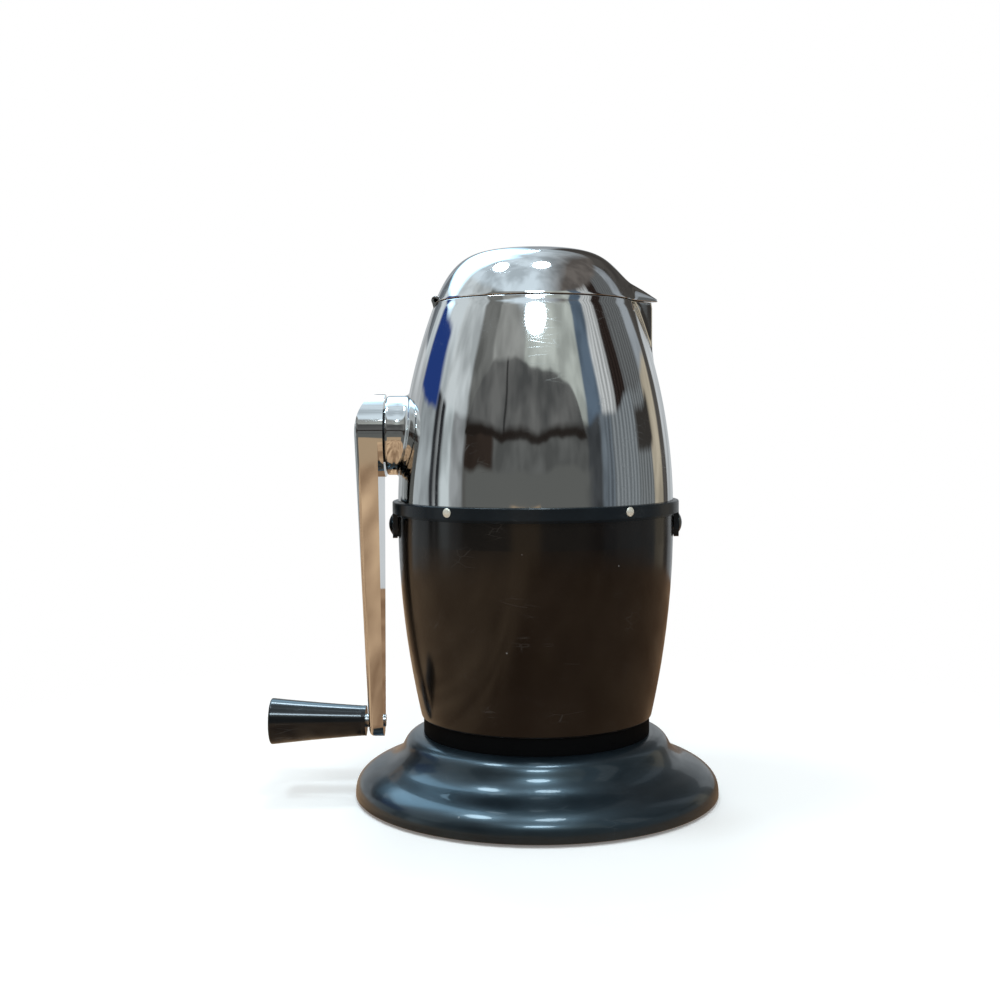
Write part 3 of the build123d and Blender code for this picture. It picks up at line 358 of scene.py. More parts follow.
joined(base, gussets)
face_outwards(base)
finish_piece(base, black_gloss, "stand", "black_plastic", "base")

# Base screws: three steel screws from under the base into the bosses of the cup.
# They have pan heads with a cross recess, a little dull from the driver.
steel, tree, used, shader = new_finish("brushed_steel", mottle=50.0, skin=700.0, speck=240.0)
steel_tone = mixed(tree, used["Mottle"], (0.42, 0.42, 0.41, 1), (0.58, 0.58, 0.57, 1))
steel_specked = marked(tree, used["Speck"], 0.6, steel_tone, (0.20, 0.17, 0.14, 1))
shader["Metallic"].default_value = 1.0
satin(tree, used, shader, steel_specked, smooth=0.22, rough=0.38, depth=0.02 * mm, strength=0.4)
screw_sides = 48
dome_turns = [math.pi / 2 * step / 6 for step in range(7)]


def cut_away(piece, cutter):
    """Takes the shape of a cutter out of a piece, and removes the cutter."""
    cut = piece.modifiers.new("cut", "BOOLEAN")
    cut.operation = "DIFFERENCE"
    cut.object = cutter
    only(piece)
    bpy.ops.object.modifier_apply(modifier="cut")
    bpy.data.objects.remove(cutter)


def cross_screw(head_radius, head_height, shank_radius, length):
    """Pan-head screw that points down from the underside of its head at zero, with a cross in the head."""
    pole = 0.0005 * mm
    edge_share = 0.45
    tip_radius = 0.6 * shank_radius
    slot_size = (1.2 * head_radius, 0.24 * head_radius, 1.1 * head_height)
    outline = [(pole, -length), (tip_radius, -length), (shank_radius, shank_radius - length)]
    outline += [(shank_radius, 0.0), (head_radius, 0.0)]
    for turn in dome_turns:
        rise = edge_share + (1 - edge_share) * math.sin(turn)
        outline.append((head_radius * math.cos(turn) + pole, head_height * rise))
    screw = turned("cross_screw", outline, screw_sides)
    for turn in (0.0, math.pi / 2):
        bpy.ops.object.select_all(action="DESELECT")
        bpy.ops.mesh.primitive_cube_add(size=1.0, location=(0, 0, head_height), rotation=(0, 0, turn))
        cutter = bpy.context.object
        bpy.ops.transform.resize(value=slot_size, orient_type="LOCAL")
        bpy.ops.object.transform_apply()
        cut_away(screw, cutter)
    return screw


def seats_round(circle, height, bearings, way):
    """Seats on a circle about the axis, at bearings in degrees, for heads that all point one way."""
    turns = [math.radians(bearing) for bearing in bearings]
    return [(round_axis(circle, 0.0, height, turn), way) for turn in turns]


def screw_set(name, seats, **sizes):
    """Equal screws on seats, each a place and the way that a head points, joined in one piece."""
    screw = cross_screw(**sizes)
    copies = []
    for place, way in seats:
        copy = screw.copy()
        copy.data = screw.data.copy()
        bpy.context.scene.collection.objects.link(copy)
        turn = Vector(way).to_track_quat("Z", "Y").to_matrix().to_4x4()
        copy.data.transform(Matrix.Translation(place) @ turn)
        copies.append(copy)
    bpy.data.objects.remove(screw)
    joined(copies[0], copies)
    copies[0].name = name
    return copies[0]


base_screw_low, base_screw_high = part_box("base_screws")
base_screw_head = 3.5 * mm
base_screw_rise = 2.4 * mm
base_screw_bearings = (90, 210, 330)
base_screw_circle = base_screw_high.y - base_screw_head
base_screw_seat = base_screw_low.z + base_screw_rise
base_screw_seats = seats_round(base_screw_circle, base_screw_seat, base_screw_bearings, (0, 0, -1))
base_screws = screw_set(
    "base_screw_set",
    base_screw_seats,
    head_radius=base_screw_head,
    head_height=base_screw_rise,
    shank_radius=1.8 * mm,
    length=base_screw_high.z - base_screw_low.z - base_screw_rise,
)
finish_piece(base_screws, steel, "stand", "steel", "base_screws")

# Gasket: a matt black band between the base and the cup.
# It is an extruded rubber ring that the foot of the cup presses into its seat, and its colour also paints
# the shade of the recess there.
seal_rubber_and_shade, tree, used, shader = new_finish("seal_rubber_with_painted_shade", mottle=60.0, skin=2600.0, speck=260.0)
# Tone and shine set far below the other rubber: painted shade for the recess under the cup's foot
seal_tone_and_painted_shade = mixed(tree, used["Mottle"], (0.0016, 0.0018, 0.002, 1), (0.003, 0.0032, 0.0035, 1))
satin(tree, used, shader, seal_tone_and_painted_shade, smooth=0.65, rough=0.85, depth=0.04 * mm, strength=0.5)
shader["Specular IOR Level"].default_value = 0.06
finish_nodes(seal_rubber_and_shade, "cup_gasket")

# Cup: the beaker that catches the crushed ice, moulded in an opaque brown-black plastic.
# Its gloss is a little worn, with hair scratches and specks from years of use.
cup_tones = ((0.0045, 0.0032, 0.0024, 1), (0.0085, 0.0058, 0.0042, 1))
cup_gloss = gloss_moulding("brown_black_plastic", cup_tones, smooth=0.12, worn=0.20, coat=0.0, shine=0.5)
finish_nodes(cup_gloss, "cup")

# Pegs: two domed black studs in the wall of the cup, which the ears of the collar drop over.
# They are moulded in the gloss black of the base and pressed into the wall from outside.
finish_nodes(black_gloss, "cup_pegs")

# Collar: the black ring that carries the crushing head and rests on the rim of the cup.
# It is one moulding with a band, a web inside it and two ears, in a black with less gloss than the base.
collar_black = gloss_moulding(
    "black_collar_plastic", base_tones, smooth=0.26, worn=0.36, coat=0.1, shine=0.25
)
finish_nodes(collar_black, "collar")

# Housing: the tapered head, a bulging shell with a beak at its rim and a boss for the crank.
# It is cast thin, polished and chromed, and the collar's rivets hold its skirt.
chrome, tree, used, shader = new_finish("bright_chrome", mottle=26.0, skin=120.0, speck=150.0)
plate = mixed(tree, used["Mottle"], (0.74, 0.75, 0.75, 1), (0.82, 0.82, 0.81, 1))
pitted = marked(tree, used["Speck"], 0.8, plate, (0.92, 0.92, 0.90, 1))
tree.links.new(pitted, shader["Base Color"])
shader["Metallic"].default_value = 1.0
polish = between(tree, used["Mottle"], 0.3, 0.7, 0.035, 0.075)
blemishes = math_node(tree, "MAXIMUM", used["Speck"], used["Scratch"])
dulled = product(tree, blemishes, 0.15)
tree.links.new(math_node(tree, "ADD", polish, dulled), shader["Roughness"])
tree.links.new(raised(tree, used["Mottle"], 0.25 * mm, 0.12), shader["Normal"])


def soft_max(first, second, blend):
    """Larger of two values, rounded off where they are nearly equal."""
    overlap = max(blend - abs(first - second), 0.0)
    return max(first, second) + overlap * overlap / (4 * blend)


joint_place = {joint["name"]: joint["pos_m"] for joint in frame["joints"] if "pos_m" in joint}
housing_low, housing_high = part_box("housing")
lid_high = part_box("lid")[1]
crank_z = joint_place["crank_turn"][2]
hinge_x = joint_place["lid_open"][0]
hinge_z = joint_place["lid_open"][2]
body_radius = housing_high.y
mouth_radius = lid_high.y
mouth_z = hinge_z - 1.0 * mm
skirt_z = housing_low.z + 4.8 * mm
wall = 2.6 * mm
wall_bulge = 3.9 * mm
rim_round = 0.5 * mm
rim_steps = 4
beak_reach = 54.4 * mm
beak_taper = 0.93
beak_bluntness = 0.02
beak_blend = 2.4 * mm
beak_half_angle = math.radians(40)
housing_sides = 256
crowding = 0.25


def wall_radius(height, inset):
    """Radius of the bulging wall at a height, set in from its outside."""
    run = mouth_z - skirt_z
    fall = body_radius - mouth_radius
    chord = math.hypot(run, fall)
    arc_radius = (chord**2 / 4 + wall_bulge**2) / (2 * wall_bulge)
    centre_radius = (body_radius + mouth_radius) / 2 - inset - (arc_radius - wall_bulge) * run / chord
    centre_height = (skirt_z + mouth_z) / 2 - (arc_radius - wall_bulge) * fall / chord
    rise = max(height, skirt_z) - centre_height
    return centre_radius + math.sqrt(arc_radius**2 - rise**2)


def beak_radius(angle, reach, inset):
    """Distance from the axis to the wedge of a beak in one direction, set in from its outside."""
    if abs(angle) > beak_half_angle:
        return 0.0
    tip = reach - inset * math.hypot(1, beak_taper) / beak_taper
    spread = math.hypot(math.sin(angle), beak_bluntness)
    return tip * beak_taper / (spread + beak_taper * math.cos(angle))


def crowded_angle(vertex):
    """Angle of a point about the axis, moved so that the points stand closer at the beak."""
    angle = math.atan2(vertex.co.y, vertex.co.x)
    return angle - crowding * math.sin(2 * angle)


outer_rings = 44
inner_rings = 16
rise_step = (mouth_z - rim_round - housing_low.z) / outer_rings
outer_heights = [housing_low.z + rise_step * ring for ring in range(outer_rings)]
housing_outline = [(wall_radius(height, 0), height) for height in outer_heights]
rim_turns = [math.pi / 2 * step / rim_steps for step in range(rim_steps + 1)]
rim_edge = [
    (mouth_radius - rim_round * (1 - math.cos(turn)), mouth_z - rim_round * (1 - math.sin(turn)))
    for turn in rim_turns
]
housing_outline += rim_edge
housing_outline += [(2 * mouth_radius - wall - radius, height) for radius, height in reversed(rim_edge)]
inner_step = (mouth_z - rim_round - housing_low.z) / inner_rings
inner_heights = [mouth_z - rim_round - inner_step * ring for ring in range(1, inner_rings + 1)]
housing_outline += [(wall_radius(height, wall), height) for height in inner_heights]
housing_outline.append(housing_outline[0])
housing = turned("chrome_housing", housing_outline, housing_sides)
for vertex in housing.data.vertices:
    angle = crowded_angle(vertex)
    radius = math.hypot(vertex.co.x, vertex.co.y)
    inset = wall_radius(vertex.co.z, 0) - radius
    radius = soft_max(radius, beak_radius(angle, beak_reach, inset), beak_blend)
    vertex.co.x = radius * math.cos(angle)
    vertex.co.y = radius * math.sin(angle)

# The boss stands on the wall: the heights of its outline run from the wall, 0, to its face, 1
boss_radius = 17.9 * mm
boss_bore = 7.1 * mm
boss_sides = 128
boss_flare = 1.5 * mm
flare_height = 0.25
boss_round = 1.0 * mm
round_height = 0.15
face_margin = 2.2 * mm
side_height = 0.45
root_height = -0.06
root_margin = 0.4 * mm
boss_face = -housing_low.x
boss_outline = [(boss_bore, 0.0), (boss_bore, 1.0), (boss_radius - face_margin, 1.0)]
boss_outline += [
    (boss_radius - boss_round * (1 - math.sin(turn)), 1.0 - round_height * (1 - math.cos(turn)))
    for turn in (0, 0.4, 0.8, 1.2, 1.57)
]
boss_outline += [(boss_radius, side_height)]
boss_outline += [
    (boss_radius + boss_flare * (1 - math.cos(turn)), flare_height * (1 - math.sin(turn)))
    for turn in (0, 0.26, 0.52, 0.79, 1.05, 1.31, 1.57)
]
boss_outline += [(boss_radius + boss_flare + root_margin, root_height)]
boss_outline += [(boss_bore, root_height), (boss_bore, 0.0)]
boss = turned("crank_boss", boss_outline, boss_sides)
for vertex in boss.data.vertices:
    side, up, share = vertex.co.y, vertex.co.x, vertex.co.z
    surface = math.sqrt(wall_radius(crank_z + up, 0) ** 2 - side**2)
    vertex.co = (-(surface + (boss_face - surface) * share), side, crank_z + up)
face_outwards(boss)
knuckle_radius = 1.9 * mm
knuckle_bevel = 0.8 * mm


def hinge_knuckle(name, low_y, high_y, pull, way):
    """Barrel on the hinge line whose faces on one side are drawn out into the wall that carries it."""
    bpy.ops.object.select_all(action="DESELECT")
    bpy.ops.mesh.primitive_cylinder_add(
        vertices=40,
        radius=knuckle_radius,
        depth=high_y - low_y,
        location=(hinge_x, (low_y + high_y) / 2, hinge_z),
        rotation=(math.pi / 2, 0, 0),
    )
    knuckle = bpy.context.object
    knuckle.name = name
    bpy.ops.object.transform_apply()
    bpy.ops.object.mode_set(mode="EDIT")
    bpy.ops.mesh.select_all(action="DESELECT")
    bpy.ops.object.mode_set(mode="OBJECT")
    for face in knuckle.data.polygons:
        face.select = face.normal.x * way[0] + face.normal.z * way[1] > 0.3
    bpy.ops.object.mode_set(mode="EDIT")
    bpy.ops.mesh.extrude_region_move(TRANSFORM_OT_translate={"value": (way[0] * pull, 0, way[1] * pull)})
    bpy.ops.object.mode_set(mode="OBJECT")
    bevel = knuckle.modifiers.new("edges", "BEVEL")
    bevel.width = knuckle_bevel
    bevel.segments = 4
    bevel.angle_limit = math.radians(60)
    only(knuckle)
    bpy.ops.object.modifier_apply(modifier="edges")
    return knuckle


knuckle_start = 4.2 * mm
knuckle_end = 9.0 * mm
knuckle_pull = 4.0 * mm
into_wall = (0.25, -0.97)
knuckles = [
    hinge_knuckle("knuckle_front", -knuckle_end, -knuckle_start, knuckle_pull, into_wall),
    hinge_knuckle("knuckle_rear", knuckle_start, knuckle_end, knuckle_pull, into_wall),
]
joined(housing, (boss, *knuckles))
finish_piece(housing, chrome, "head", "chrome", "housing")

# Rivets: four rivets through the band of the collar and the skirt of the housing.
# Their heads are small domes of pale plated brass, dulled by handling.
rivet_plate, tree, used, shader = new_finish("pale_plated_brass", mottle=300.0, skin=900.0, speck=600.0)
rivet_tone = mixed(tree, used["Mottle"], (0.78, 0.70, 0.54, 1), (0.86, 0.83, 0.76, 1))
tree.links.new(rivet_tone, shader["Base Color"])
shader["Metallic"].default_value = 0.35
tree.links.new(between(tree, used["Skin"], 0.3, 0.7, 0.25, 0.45), shader["Roughness"])
collar_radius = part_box("collar")[1].y
rivet_low, rivet_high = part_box("collar_rivets")
rivet_z = (rivet_low.z + rivet_high.z) / 2
rivet_radius = 2.0 * mm
rivet_dome = 0.8 * mm
rivet_root = -0.5 * mm
rivet_sides = 32
rivet_bearings = (-126, -54, 54, 126)
rivet_outline = [(rivet_radius, rivet_root), (rivet_radius, 0.0)]
rivet_outline += [
    (rivet_radius * math.cos(turn) + pole_radius, rivet_dome * math.sin(turn)) for turn in dome_turns
]
rivets = []
for bearing in rivet_bearings:
    rivet = turned(f"rivet_{len(rivets) + 1}", rivet_outline, rivet_sides)
    for vertex in rivet.data.vertices:
        side, up, out = vertex.co
        vertex.co = round_axis(collar_radius + out, side, rivet_z + up, math.radians(bearing))
    rivets.append(rivet)
joined(rivets[0], rivets)
rivets[0].name = "rivet_heads"
face_outwards(rivets[0])
finish_piece(rivets[0], rivet_plate, "head", "rivet_metal", "collar_rivets")

# Chute, liner and washer: matt black mouldings inside the head, which guide the ice to the rotor.
# Four small screws hold the flange of the chute on the collar, and the liner drops in from above.
matt_black, tree, used, shader = new_finish("matt_black_plastic", mottle=50.0, skin=1800.0, speck=200.0)
matt_tone = mixed(tree, used["Mottle"], (0.022, 0.022, 0.024, 1), (0.036, 0.036, 0.038, 1))
matt_scuffed = marked(tree, used["Scratch"], 0.5, matt_tone, (0.2, 0.2, 0.2, 1))
satin(tree, used, shader, matt_scuffed, smooth=0.45, rough=0.62, depth=0.03 * mm, strength=0.5)
finish_nodes(matt_black, "chassis", "hopper_liner", "thrust_washer")
chute_screw_low, chute_screw_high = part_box("chassis_screws")
chute_screw_head = 2.8 * mm
chute_screw_rise = 2.2 * mm
chute_screw_bearings = (65, 115, 245, 295)
chute_screw_side = math.sin(math.radians(chute_screw_bearings[0]))
chute_screw_circle = (chute_screw_high.y - chute_screw_head) / chute_screw_side
chute_screw_seat = chute_screw_high.z - chute_screw_rise
chute_screw_seats = seats_round(chute_screw_circle, chute_screw_seat, chute_screw_bearings, (0, 0, 1))
chute_screws = screw_set(
    "chute_screw_set",
    chute_screw_seats,
    head_radius=chute_screw_head,
    head_height=chute_screw_rise,
    shank_radius=1.25 * mm,
    length=chute_screw_seat - chute_screw_low.z,
)
finish_piece(chute_screws, steel, "head", "steel", "chassis_screws")

# Combs: two slotted steel plates on the inside of the chute, between whose prongs the discs turn.
# They are stamped, and two screws from outside hold each of them to the wall.
finish_nodes(steel, "front_comb", "rear_comb")
comb_screw_low, comb_screw_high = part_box("comb_screws")
comb_screw_head = 2.8 * mm
comb_screw_rise = 2.0 * mm
comb_screw_x = comb_screw_high.x - comb_screw_head
comb_screw_y = comb_screw_high.y - comb_screw_rise
comb_screw_z = (comb_screw_low.z + comb_screw_high.z) / 2
comb_screw_seats = [
    ((x, y, comb_screw_z), (0, math.copysign(1, y), 0))
    for x in (-comb_screw_x, comb_screw_x)
    for y in (-comb_screw_y, comb_screw_y)
]
comb_screws = screw_set(
    "comb_screw_set",
    comb_screw_seats,
    head_radius=comb_screw_head,
    head_height=comb_screw_rise,
    shank_radius=1.5 * mm,
    length=5.0 * mm,
)
finish_piece(comb_screws, steel, "head", "steel", "comb_screws")

# Bushes: two flanged sleeves in which the shaft of the rotor turns.
# They are of sintered bronze, pressed into the boss of the housing and the wall of the chute.
bronze, tree, used, shader = new_finish("sintered_bronze", mottle=90.0, skin=2500.0, speck=900.0)
bronze_tone = mixed(tree, used["Mottle"], (0.42, 0.25, 0.10, 1), (0.60, 0.40, 0.18, 1))
bronze_specked = mixed(tree, used["Speck"], bronze_tone, (0.10, 0.06, 0.03, 1))
shader["Metallic"].default_value = 1.0
satin(tree, used, shader, bronze_specked, smooth=0.35, rough=0.5, depth=0.03 * mm, strength=0.5)
finish_nodes(bronze, "crank_bush", "far_bush")

# Rotor: six hooked breaker discs with spacers between them, on a hexagonal shaft that a clip keeps in.
# They are stamped or turned from steel, each disc one flat of the hexagon on from the last.
disc_names = [name for name in frame["nodes"] if name.startswith("breaker_disc")]
finish_nodes(steel, "rotor_shaft", "rotor_spacers", "shaft_clip", *disc_names)

# Crank arm: a chromed casting with a domed hub on the square of the shaft and a slim squared end.
# One screw with a cross recess, sunk in the hub, draws it on.
finish_nodes(chrome, "crank_arm")
crank_screw_low, crank_screw_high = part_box("crank_screw")
crank_screw_head = crank_screw_high.y
crank_screw_rise = 2.5 * mm
crank_screw_seat = (crank_screw_low.x + crank_screw_rise, 0, crank_z)
crank_screw = screw_set(
    "crank_cross_screw",
    [(crank_screw_seat, (-1, 0, 0))],
    head_radius=crank_screw_head,
    head_height=crank_screw_rise,
    shank_radius=2.1 * mm,
    length=crank_screw_high.x - crank_screw_low.x - crank_screw_rise,
)
finish_piece(crank_screw, steel, "crank", "steel", "crank_screw")

# Grip: a black handle that spins on a steel stud, fatter at its outer end.
# It is turned from plastic, and the stud is riveted through the end of the arm.
grip_tones = ((0.005, 0.0055, 0.006, 1), (0.009, 0.0095, 0.010, 1))
grip_black = gloss_moulding("black_grip_plastic", grip_tones, smooth=0.16, worn=0.24, coat=0.3, shine=0.3)
finish_nodes(grip_black, "handle_grip")
finish_nodes(steel, "handle_stud")

# Lid: the domed cap, cast and chromed like the housing, with a beak that lies over the beak below.
# Its rim has a small round edge, and it swings on a knuckle and a steel pin at the crank side.
finish_nodes(steel, "hinge_pin")
lid_bottom = mouth_z + 0.3 * mm
lid_rise = lid_high.z - lid_bottom
lid_tip = lid_high.x
dome_power = 4.85
ridge_tip = 1.1 * mm
ridge_slope = 0.68
ridge_droop = 5.5
ridge_end = 25.0 * mm
ridge_fall = 20.0
lid_blend = 6.0 * mm
tip_half_width = 0.6 * mm
tip_drop = 4.0
lid_edge = 0.35 * mm


def dome_height(radius, inset):
    """Height of the dome over the rim of the lid at a radius, set in from its outside."""
    return (lid_rise - inset) * (1 - (radius / (mouth_radius - inset)) ** dome_power)


def lid_height(radius, angle):
    """Height of the lid over its rim, with the beak drawn out of the dome."""
    if abs(angle) > beak_half_angle:
        return dome_height(radius, 0)
    reach = lid_tip - radius * math.cos(angle)
    half_width = beak_taper * max(reach, 0) + tip_half_width
    ridge = ridge_tip + ridge_slope * reach - ridge_droop * reach**2
    ridge -= ridge_fall * max(reach - ridge_end, 0) ** 2
    across = radius * math.sin(angle) / half_width
    beak = ridge * (1 - across**2) - tip_drop * max(-reach, 0)
    return soft_max(dome_height(radius, 0), beak, lid_blend)


def lid_edge_radius(angle):
    """Distance from the axis at which the top of the lid comes down to its rim."""
    near, far = mouth_radius / 2, lid_tip + tip_half_width
    for _ in range(40):
        middle_radius = (near + far) / 2
        if lid_height(middle_radius, angle) > 0:
            near = middle_radius
        else:
            far = middle_radius
    return near


def lid_meridian(angle, rings):
    """Evenly spaced points down the top of the lid in one direction, from the crown to the rim."""
    edge = lid_edge_radius(angle)
    fine = 160
    radii = [edge * math.sin(math.pi / 2 * step / fine) for step in range(fine)] + [edge]
    path = [(radius, lid_height(radius, angle)) for radius in radii[:-1]] + [(edge, 0.0)]
    lengths = [0.0]
    for start, end in zip(path, path[1:]):
        lengths.append(lengths[-1] + math.dist(start, end))
    points = []
    step = 0
    for ring in range(rings + 1):
        wanted = lengths[-1] * ring / rings
        while step < len(lengths) - 2 and lengths[step + 1] < wanted:
            step += 1
        share = (wanted - lengths[step]) / (lengths[step + 1] - lengths[step])
        points.append(tuple(a + (b - a) * share for a, b in zip(path[step], path[step + 1])))
    return points


# A plain tube has one ring for each step down the outside, the flat underside and up the inside
top_rings = 48
under_rings = 10
ring_gap = 1.0 * mm
tube = [(mouth_radius, ring * ring_gap) for ring in range(top_rings + under_rings + 2)]
lid = turned("chrome_lid", tube, housing_sides)
meridians = {}
for vertex in lid.data.vertices:
    angle = crowded_angle(vertex)
    ring = round(vertex.co.z / ring_gap)
    if ring <= top_rings:
        key = round(angle, 5)
        if key not in meridians:
            meridians[key] = lid_meridian(angle, top_rings)
        radius, height = meridians[key][ring]
    else:
        inward = (ring - top_rings - 1) / under_rings
        radius = (mouth_radius - wall) * math.cos(math.pi / 2 * inward)
        height = dome_height(radius, wall)
    vertex.co = (radius * math.cos(angle), radius * math.sin(angle), lid_bottom + height)
only(lid)
bpy.ops.object.mode_set(mode="EDIT")
bpy.ops.mesh.select_all(action="SELECT")
bpy.ops.mesh.remove_doubles(threshold=merge_distance)
bpy.ops.mesh.normals_make_consistent(inside=False)
bpy.ops.mesh.select_all(action="DESELECT")
bpy.ops.object.mode_set(mode="OBJECT")
for edge in lid.data.edges:
    ends = [lid.data.vertices[number].co for number in edge.vertices]
    on_rim = all(abs(end.z - lid_bottom) < 0.01 * mm for end in ends)
    outside = all(math.hypot(end.x, end.y) > mouth_radius - 0.5 * wall for end in ends)
    edge.select = on_rim and outside
bpy.ops.object.mode_set(mode="EDIT")
bpy.ops.mesh.select_mode(type="EDGE")
bpy.ops.mesh.bevel(offset=lid_edge, segments=3, affect="EDGES")
bpy.ops.mesh.select_mode(type="VERT")
bpy.ops.object.mode_set(mode="OBJECT")
# The rim is cut back round the knuckles of the housing, and the lid's own knuckle goes between them
relief_radius = 2.3 * mm
relief_length = 18.4 * mm
lid_knuckle_half = 4.0 * mm
lid_knuckle_pull = 3.0 * mm
into_rim = (0.97, 0.25)
bpy.ops.object.select_all(action="DESELECT")
bpy.ops.mesh.primitive_cylinder_add(
    vertices=48,
    radius=relief_radius,
    depth=relief_length,
    location=(hinge_x, 0, hinge_z),
    rotation=(math.pi / 2, 0, 0),
)
cut_away(lid, bpy.context.object)
lid_knuckle = hinge_knuckle("lid_knuckle", -lid_knuckle_half, lid_knuckle_half, lid_knuckle_pull, into_rim)
joined(lid, [lid_knuckle])
finish_piece(lid, chrome, "lid", "chrome", "lid")

# Floor: a pale plain sheet under the crusher, which keeps its soft shadow.
# It is a matt board, lit a little from below, that fades out into the white round it.
floor_radius = 1.2
floor_glow = 0.16
fade_start = 0.12
fade_end = 0.36


def new_paint(name):
    """Material for a part of the stage, its nodes, and the place on the surface that they read."""
    material = bpy.data.materials.new(name)
    material.use_nodes = True
    tree = material.node_tree
    return material, tree, tree.nodes.new("ShaderNodeTexCoord").outputs["Object"]


bpy.ops.object.select_all(action="DESELECT")
bpy.ops.mesh.primitive_circle_add(vertices=96, radius=floor_radius, fill_type="NGON")
floor = bpy.context.object
floor.name = "floor"
floor_paint, tree, place = new_paint("pale_floor")
distance = add_node(tree, "VectorMath", {0: place}, operation="LENGTH").outputs["Value"]
clear = tree.nodes.new("ShaderNodeBsdfTransparent")
shader = tree.nodes["Principled BSDF"]
floor_tone = mixed(tree, noise(tree, place, 30.0, 3.0), (0.95, 0.91, 0.87, 1), (0.98, 0.94, 0.90, 1))
tree.links.new(floor_tone, shader.inputs["Base Color"])
shader.inputs["Roughness"].default_value = 0.9
shader.inputs["Specular IOR Level"].default_value = 0.1
shader.inputs["Emission Color"].default_value = (1, 1, 1, 1)
shader.inputs["Emission Strength"].default_value = floor_glow
faded = between(tree, distance, fade_start, fade_end)
fade = add_node(tree, "MixShader", {0: faded, 1: shader.outputs[0], 2: clear.outputs[0]})
tree.links.new(fade.outputs[0], tree.nodes["Material Output"].inputs["Surface"])
floor.data.materials.append(floor_paint)

# Surround: a studio tent of light and dark cloth panels, which only the gloss of the pieces shows.
# Its panels hang all round from a light ceiling, a little uneven as hung cloth is.
surround_radius = 1.4
sway_reach = 0.16


def show_in_gloss(piece):
    """Keeps a part of the stage out of the camera's sight, the soft light and the shadows."""
    piece.visible_camera = False
    piece.visible_diffuse = False
    piece.visible_shadow = False


def vector_node(tree, operation, inputs):
    """Result of one sum on vectors."""
    return add_node(tree, "VectorMath", inputs, operation=operation).outputs["Vector"]


def mixed_value(tree, share, first, second):
    """Value between two values."""
    inputs = {"Factor": share, 2: first, 3: second}
    return add_node(tree, "Mix", inputs, data_type="FLOAT").outputs[0]


def panel_row(tree, around, row):
    """Colours of a row of panels, each from one bearing to another, with a narrow soft edge between them."""
    node = tree.nodes.new("ShaderNodeValToRGB")
    tree.links.new(around, node.inputs["Fac"])
    stops = [(bearing, tone) for start, end, tone in row for bearing in (start + 1, end - 1)]
    ramp = node.color_ramp
    while len(ramp.elements) < len(stops):
        ramp.elements.new(0.5)
    for element, (bearing, tone) in zip(ramp.elements, stops):
        element.position = (bearing + 90) / 360
    for element, (bearing, tone) in zip(ramp.elements, stops):
        element.color = (*tone, 1)
    return node.outputs["Color"]


def inside(tree, value, low, high, edge):
    """Mask that is one between two values, with soft edges."""
    rising = between(tree, value, low - edge, low + edge)
    falling = between(tree, value, high - edge, high + edge, 1.0, 0.0)
    return product(tree, rising, falling)


def light_up(piece, material, tree, colour):
    """Makes a part of the stage glow in a colour."""
    glow = add_node(tree, "Emission", {"Color": colour, "Strength": 1.0})
    tree.links.new(glow.outputs[0], tree.nodes["Material Output"].inputs["Surface"])
    piece.data.materials.append(material)


bpy.ops.object.select_all(action="DESELECT")
bpy.ops.mesh.primitive_uv_sphere_add(segments=96, ring_count=48, radius=surround_radius)
surround = bpy.context.object
surround.name = "studio_surround"
show_in_gloss(surround)
panels, tree, place = new_paint("studio_panels")
sway_noise = {"Vector": place, "Scale": 2.2, "Detail": 2.0}
sway = add_node(tree, "TexNoise", sway_noise).outputs["Color"]
drift = vector_node(tree, "SCALE", {0: sway, "Scale": sway_reach})
swayed = vector_node(tree, "ADD", {0: place, 1: drift})
centred = vector_node(tree, "SUBTRACT", {0: swayed, 1: (sway_reach / 2, sway_reach / 2, sway_reach / 2)})
around = add_node(tree, "TexGradient", {"Vector": centred}, gradient_type="RADIAL").outputs["Fac"]
lift = add_node(tree, "SeparateXYZ", {"Vector": centred}).outputs
share = math_node(tree, "DIVIDE", lift["Z"], surround_radius)
folds = noise(tree, centred, 3.4, 2.0)
bearing_now = math_node(tree, "SUBTRACT", product(tree, around, 360.0), 90.0)
# Bearings are in degrees from the front, with 90 at the beak and 270 at the crank
upper_panels = (
    (-90, -62, (0.56, 0.61, 0.63)),
    (-62, -42, (0.16, 0.165, 0.16)),
    (-42, -12, (0.30, 0.31, 0.30)),
    (-12, 44, (0.48, 0.52, 0.49)),
    (44, 58, (0.10, 0.14, 0.19)),
    (58, 73, (0.66, 0.69, 0.70)),
    (73, 87, (0.032, 0.023, 0.02)),
    (87, 113, (0.17, 0.18, 0.185)),
    (113, 128, (0.30, 0.33, 0.36)),
    (128, 172, (0.07, 0.065, 0.06)),
    (172, 205, (0.34, 0.37, 0.40)),
    (205, 222, (0.16, 0.18, 0.20)),
    (222, 270, (0.58, 0.64, 0.67)),
)
lower_panels = (
    (-90, -86, (0.03, 0.032, 0.036)),
    (-86, -75, (0.54, 0.60, 0.62)),
    (-75, -62, (0.30, 0.32, 0.33)),
    (-62, -36, (0.030, 0.022, 0.018)),
    (-36, 42, (0.115, 0.12, 0.118)),
    (42, 55, (0.055, 0.06, 0.065)),
    (55, 67, (0.16, 0.19, 0.22)),
    (67, 92, (0.27, 0.30, 0.32)),
    (92, 112, (0.23, 0.25, 0.26)),
    (112, 128, (0.46, 0.41, 0.32)),
    (128, 140, (0.08, 0.075, 0.07)),
    (140, 240, (0.55, 0.58, 0.60)),
    (240, 262, (0.36, 0.40, 0.42)),
    (262, 267, (0.03, 0.032, 0.036)),
    (267, 270, (0.30, 0.32, 0.33)),
)
row_line = 0.385
row_edge = 0.012
in_upper = between(tree, share, row_line - row_edge, row_line + row_edge)
lower_row = panel_row(tree, around, lower_panels)
rows = mixed(tree, in_upper, lower_row, panel_row(tree, around, upper_panels))
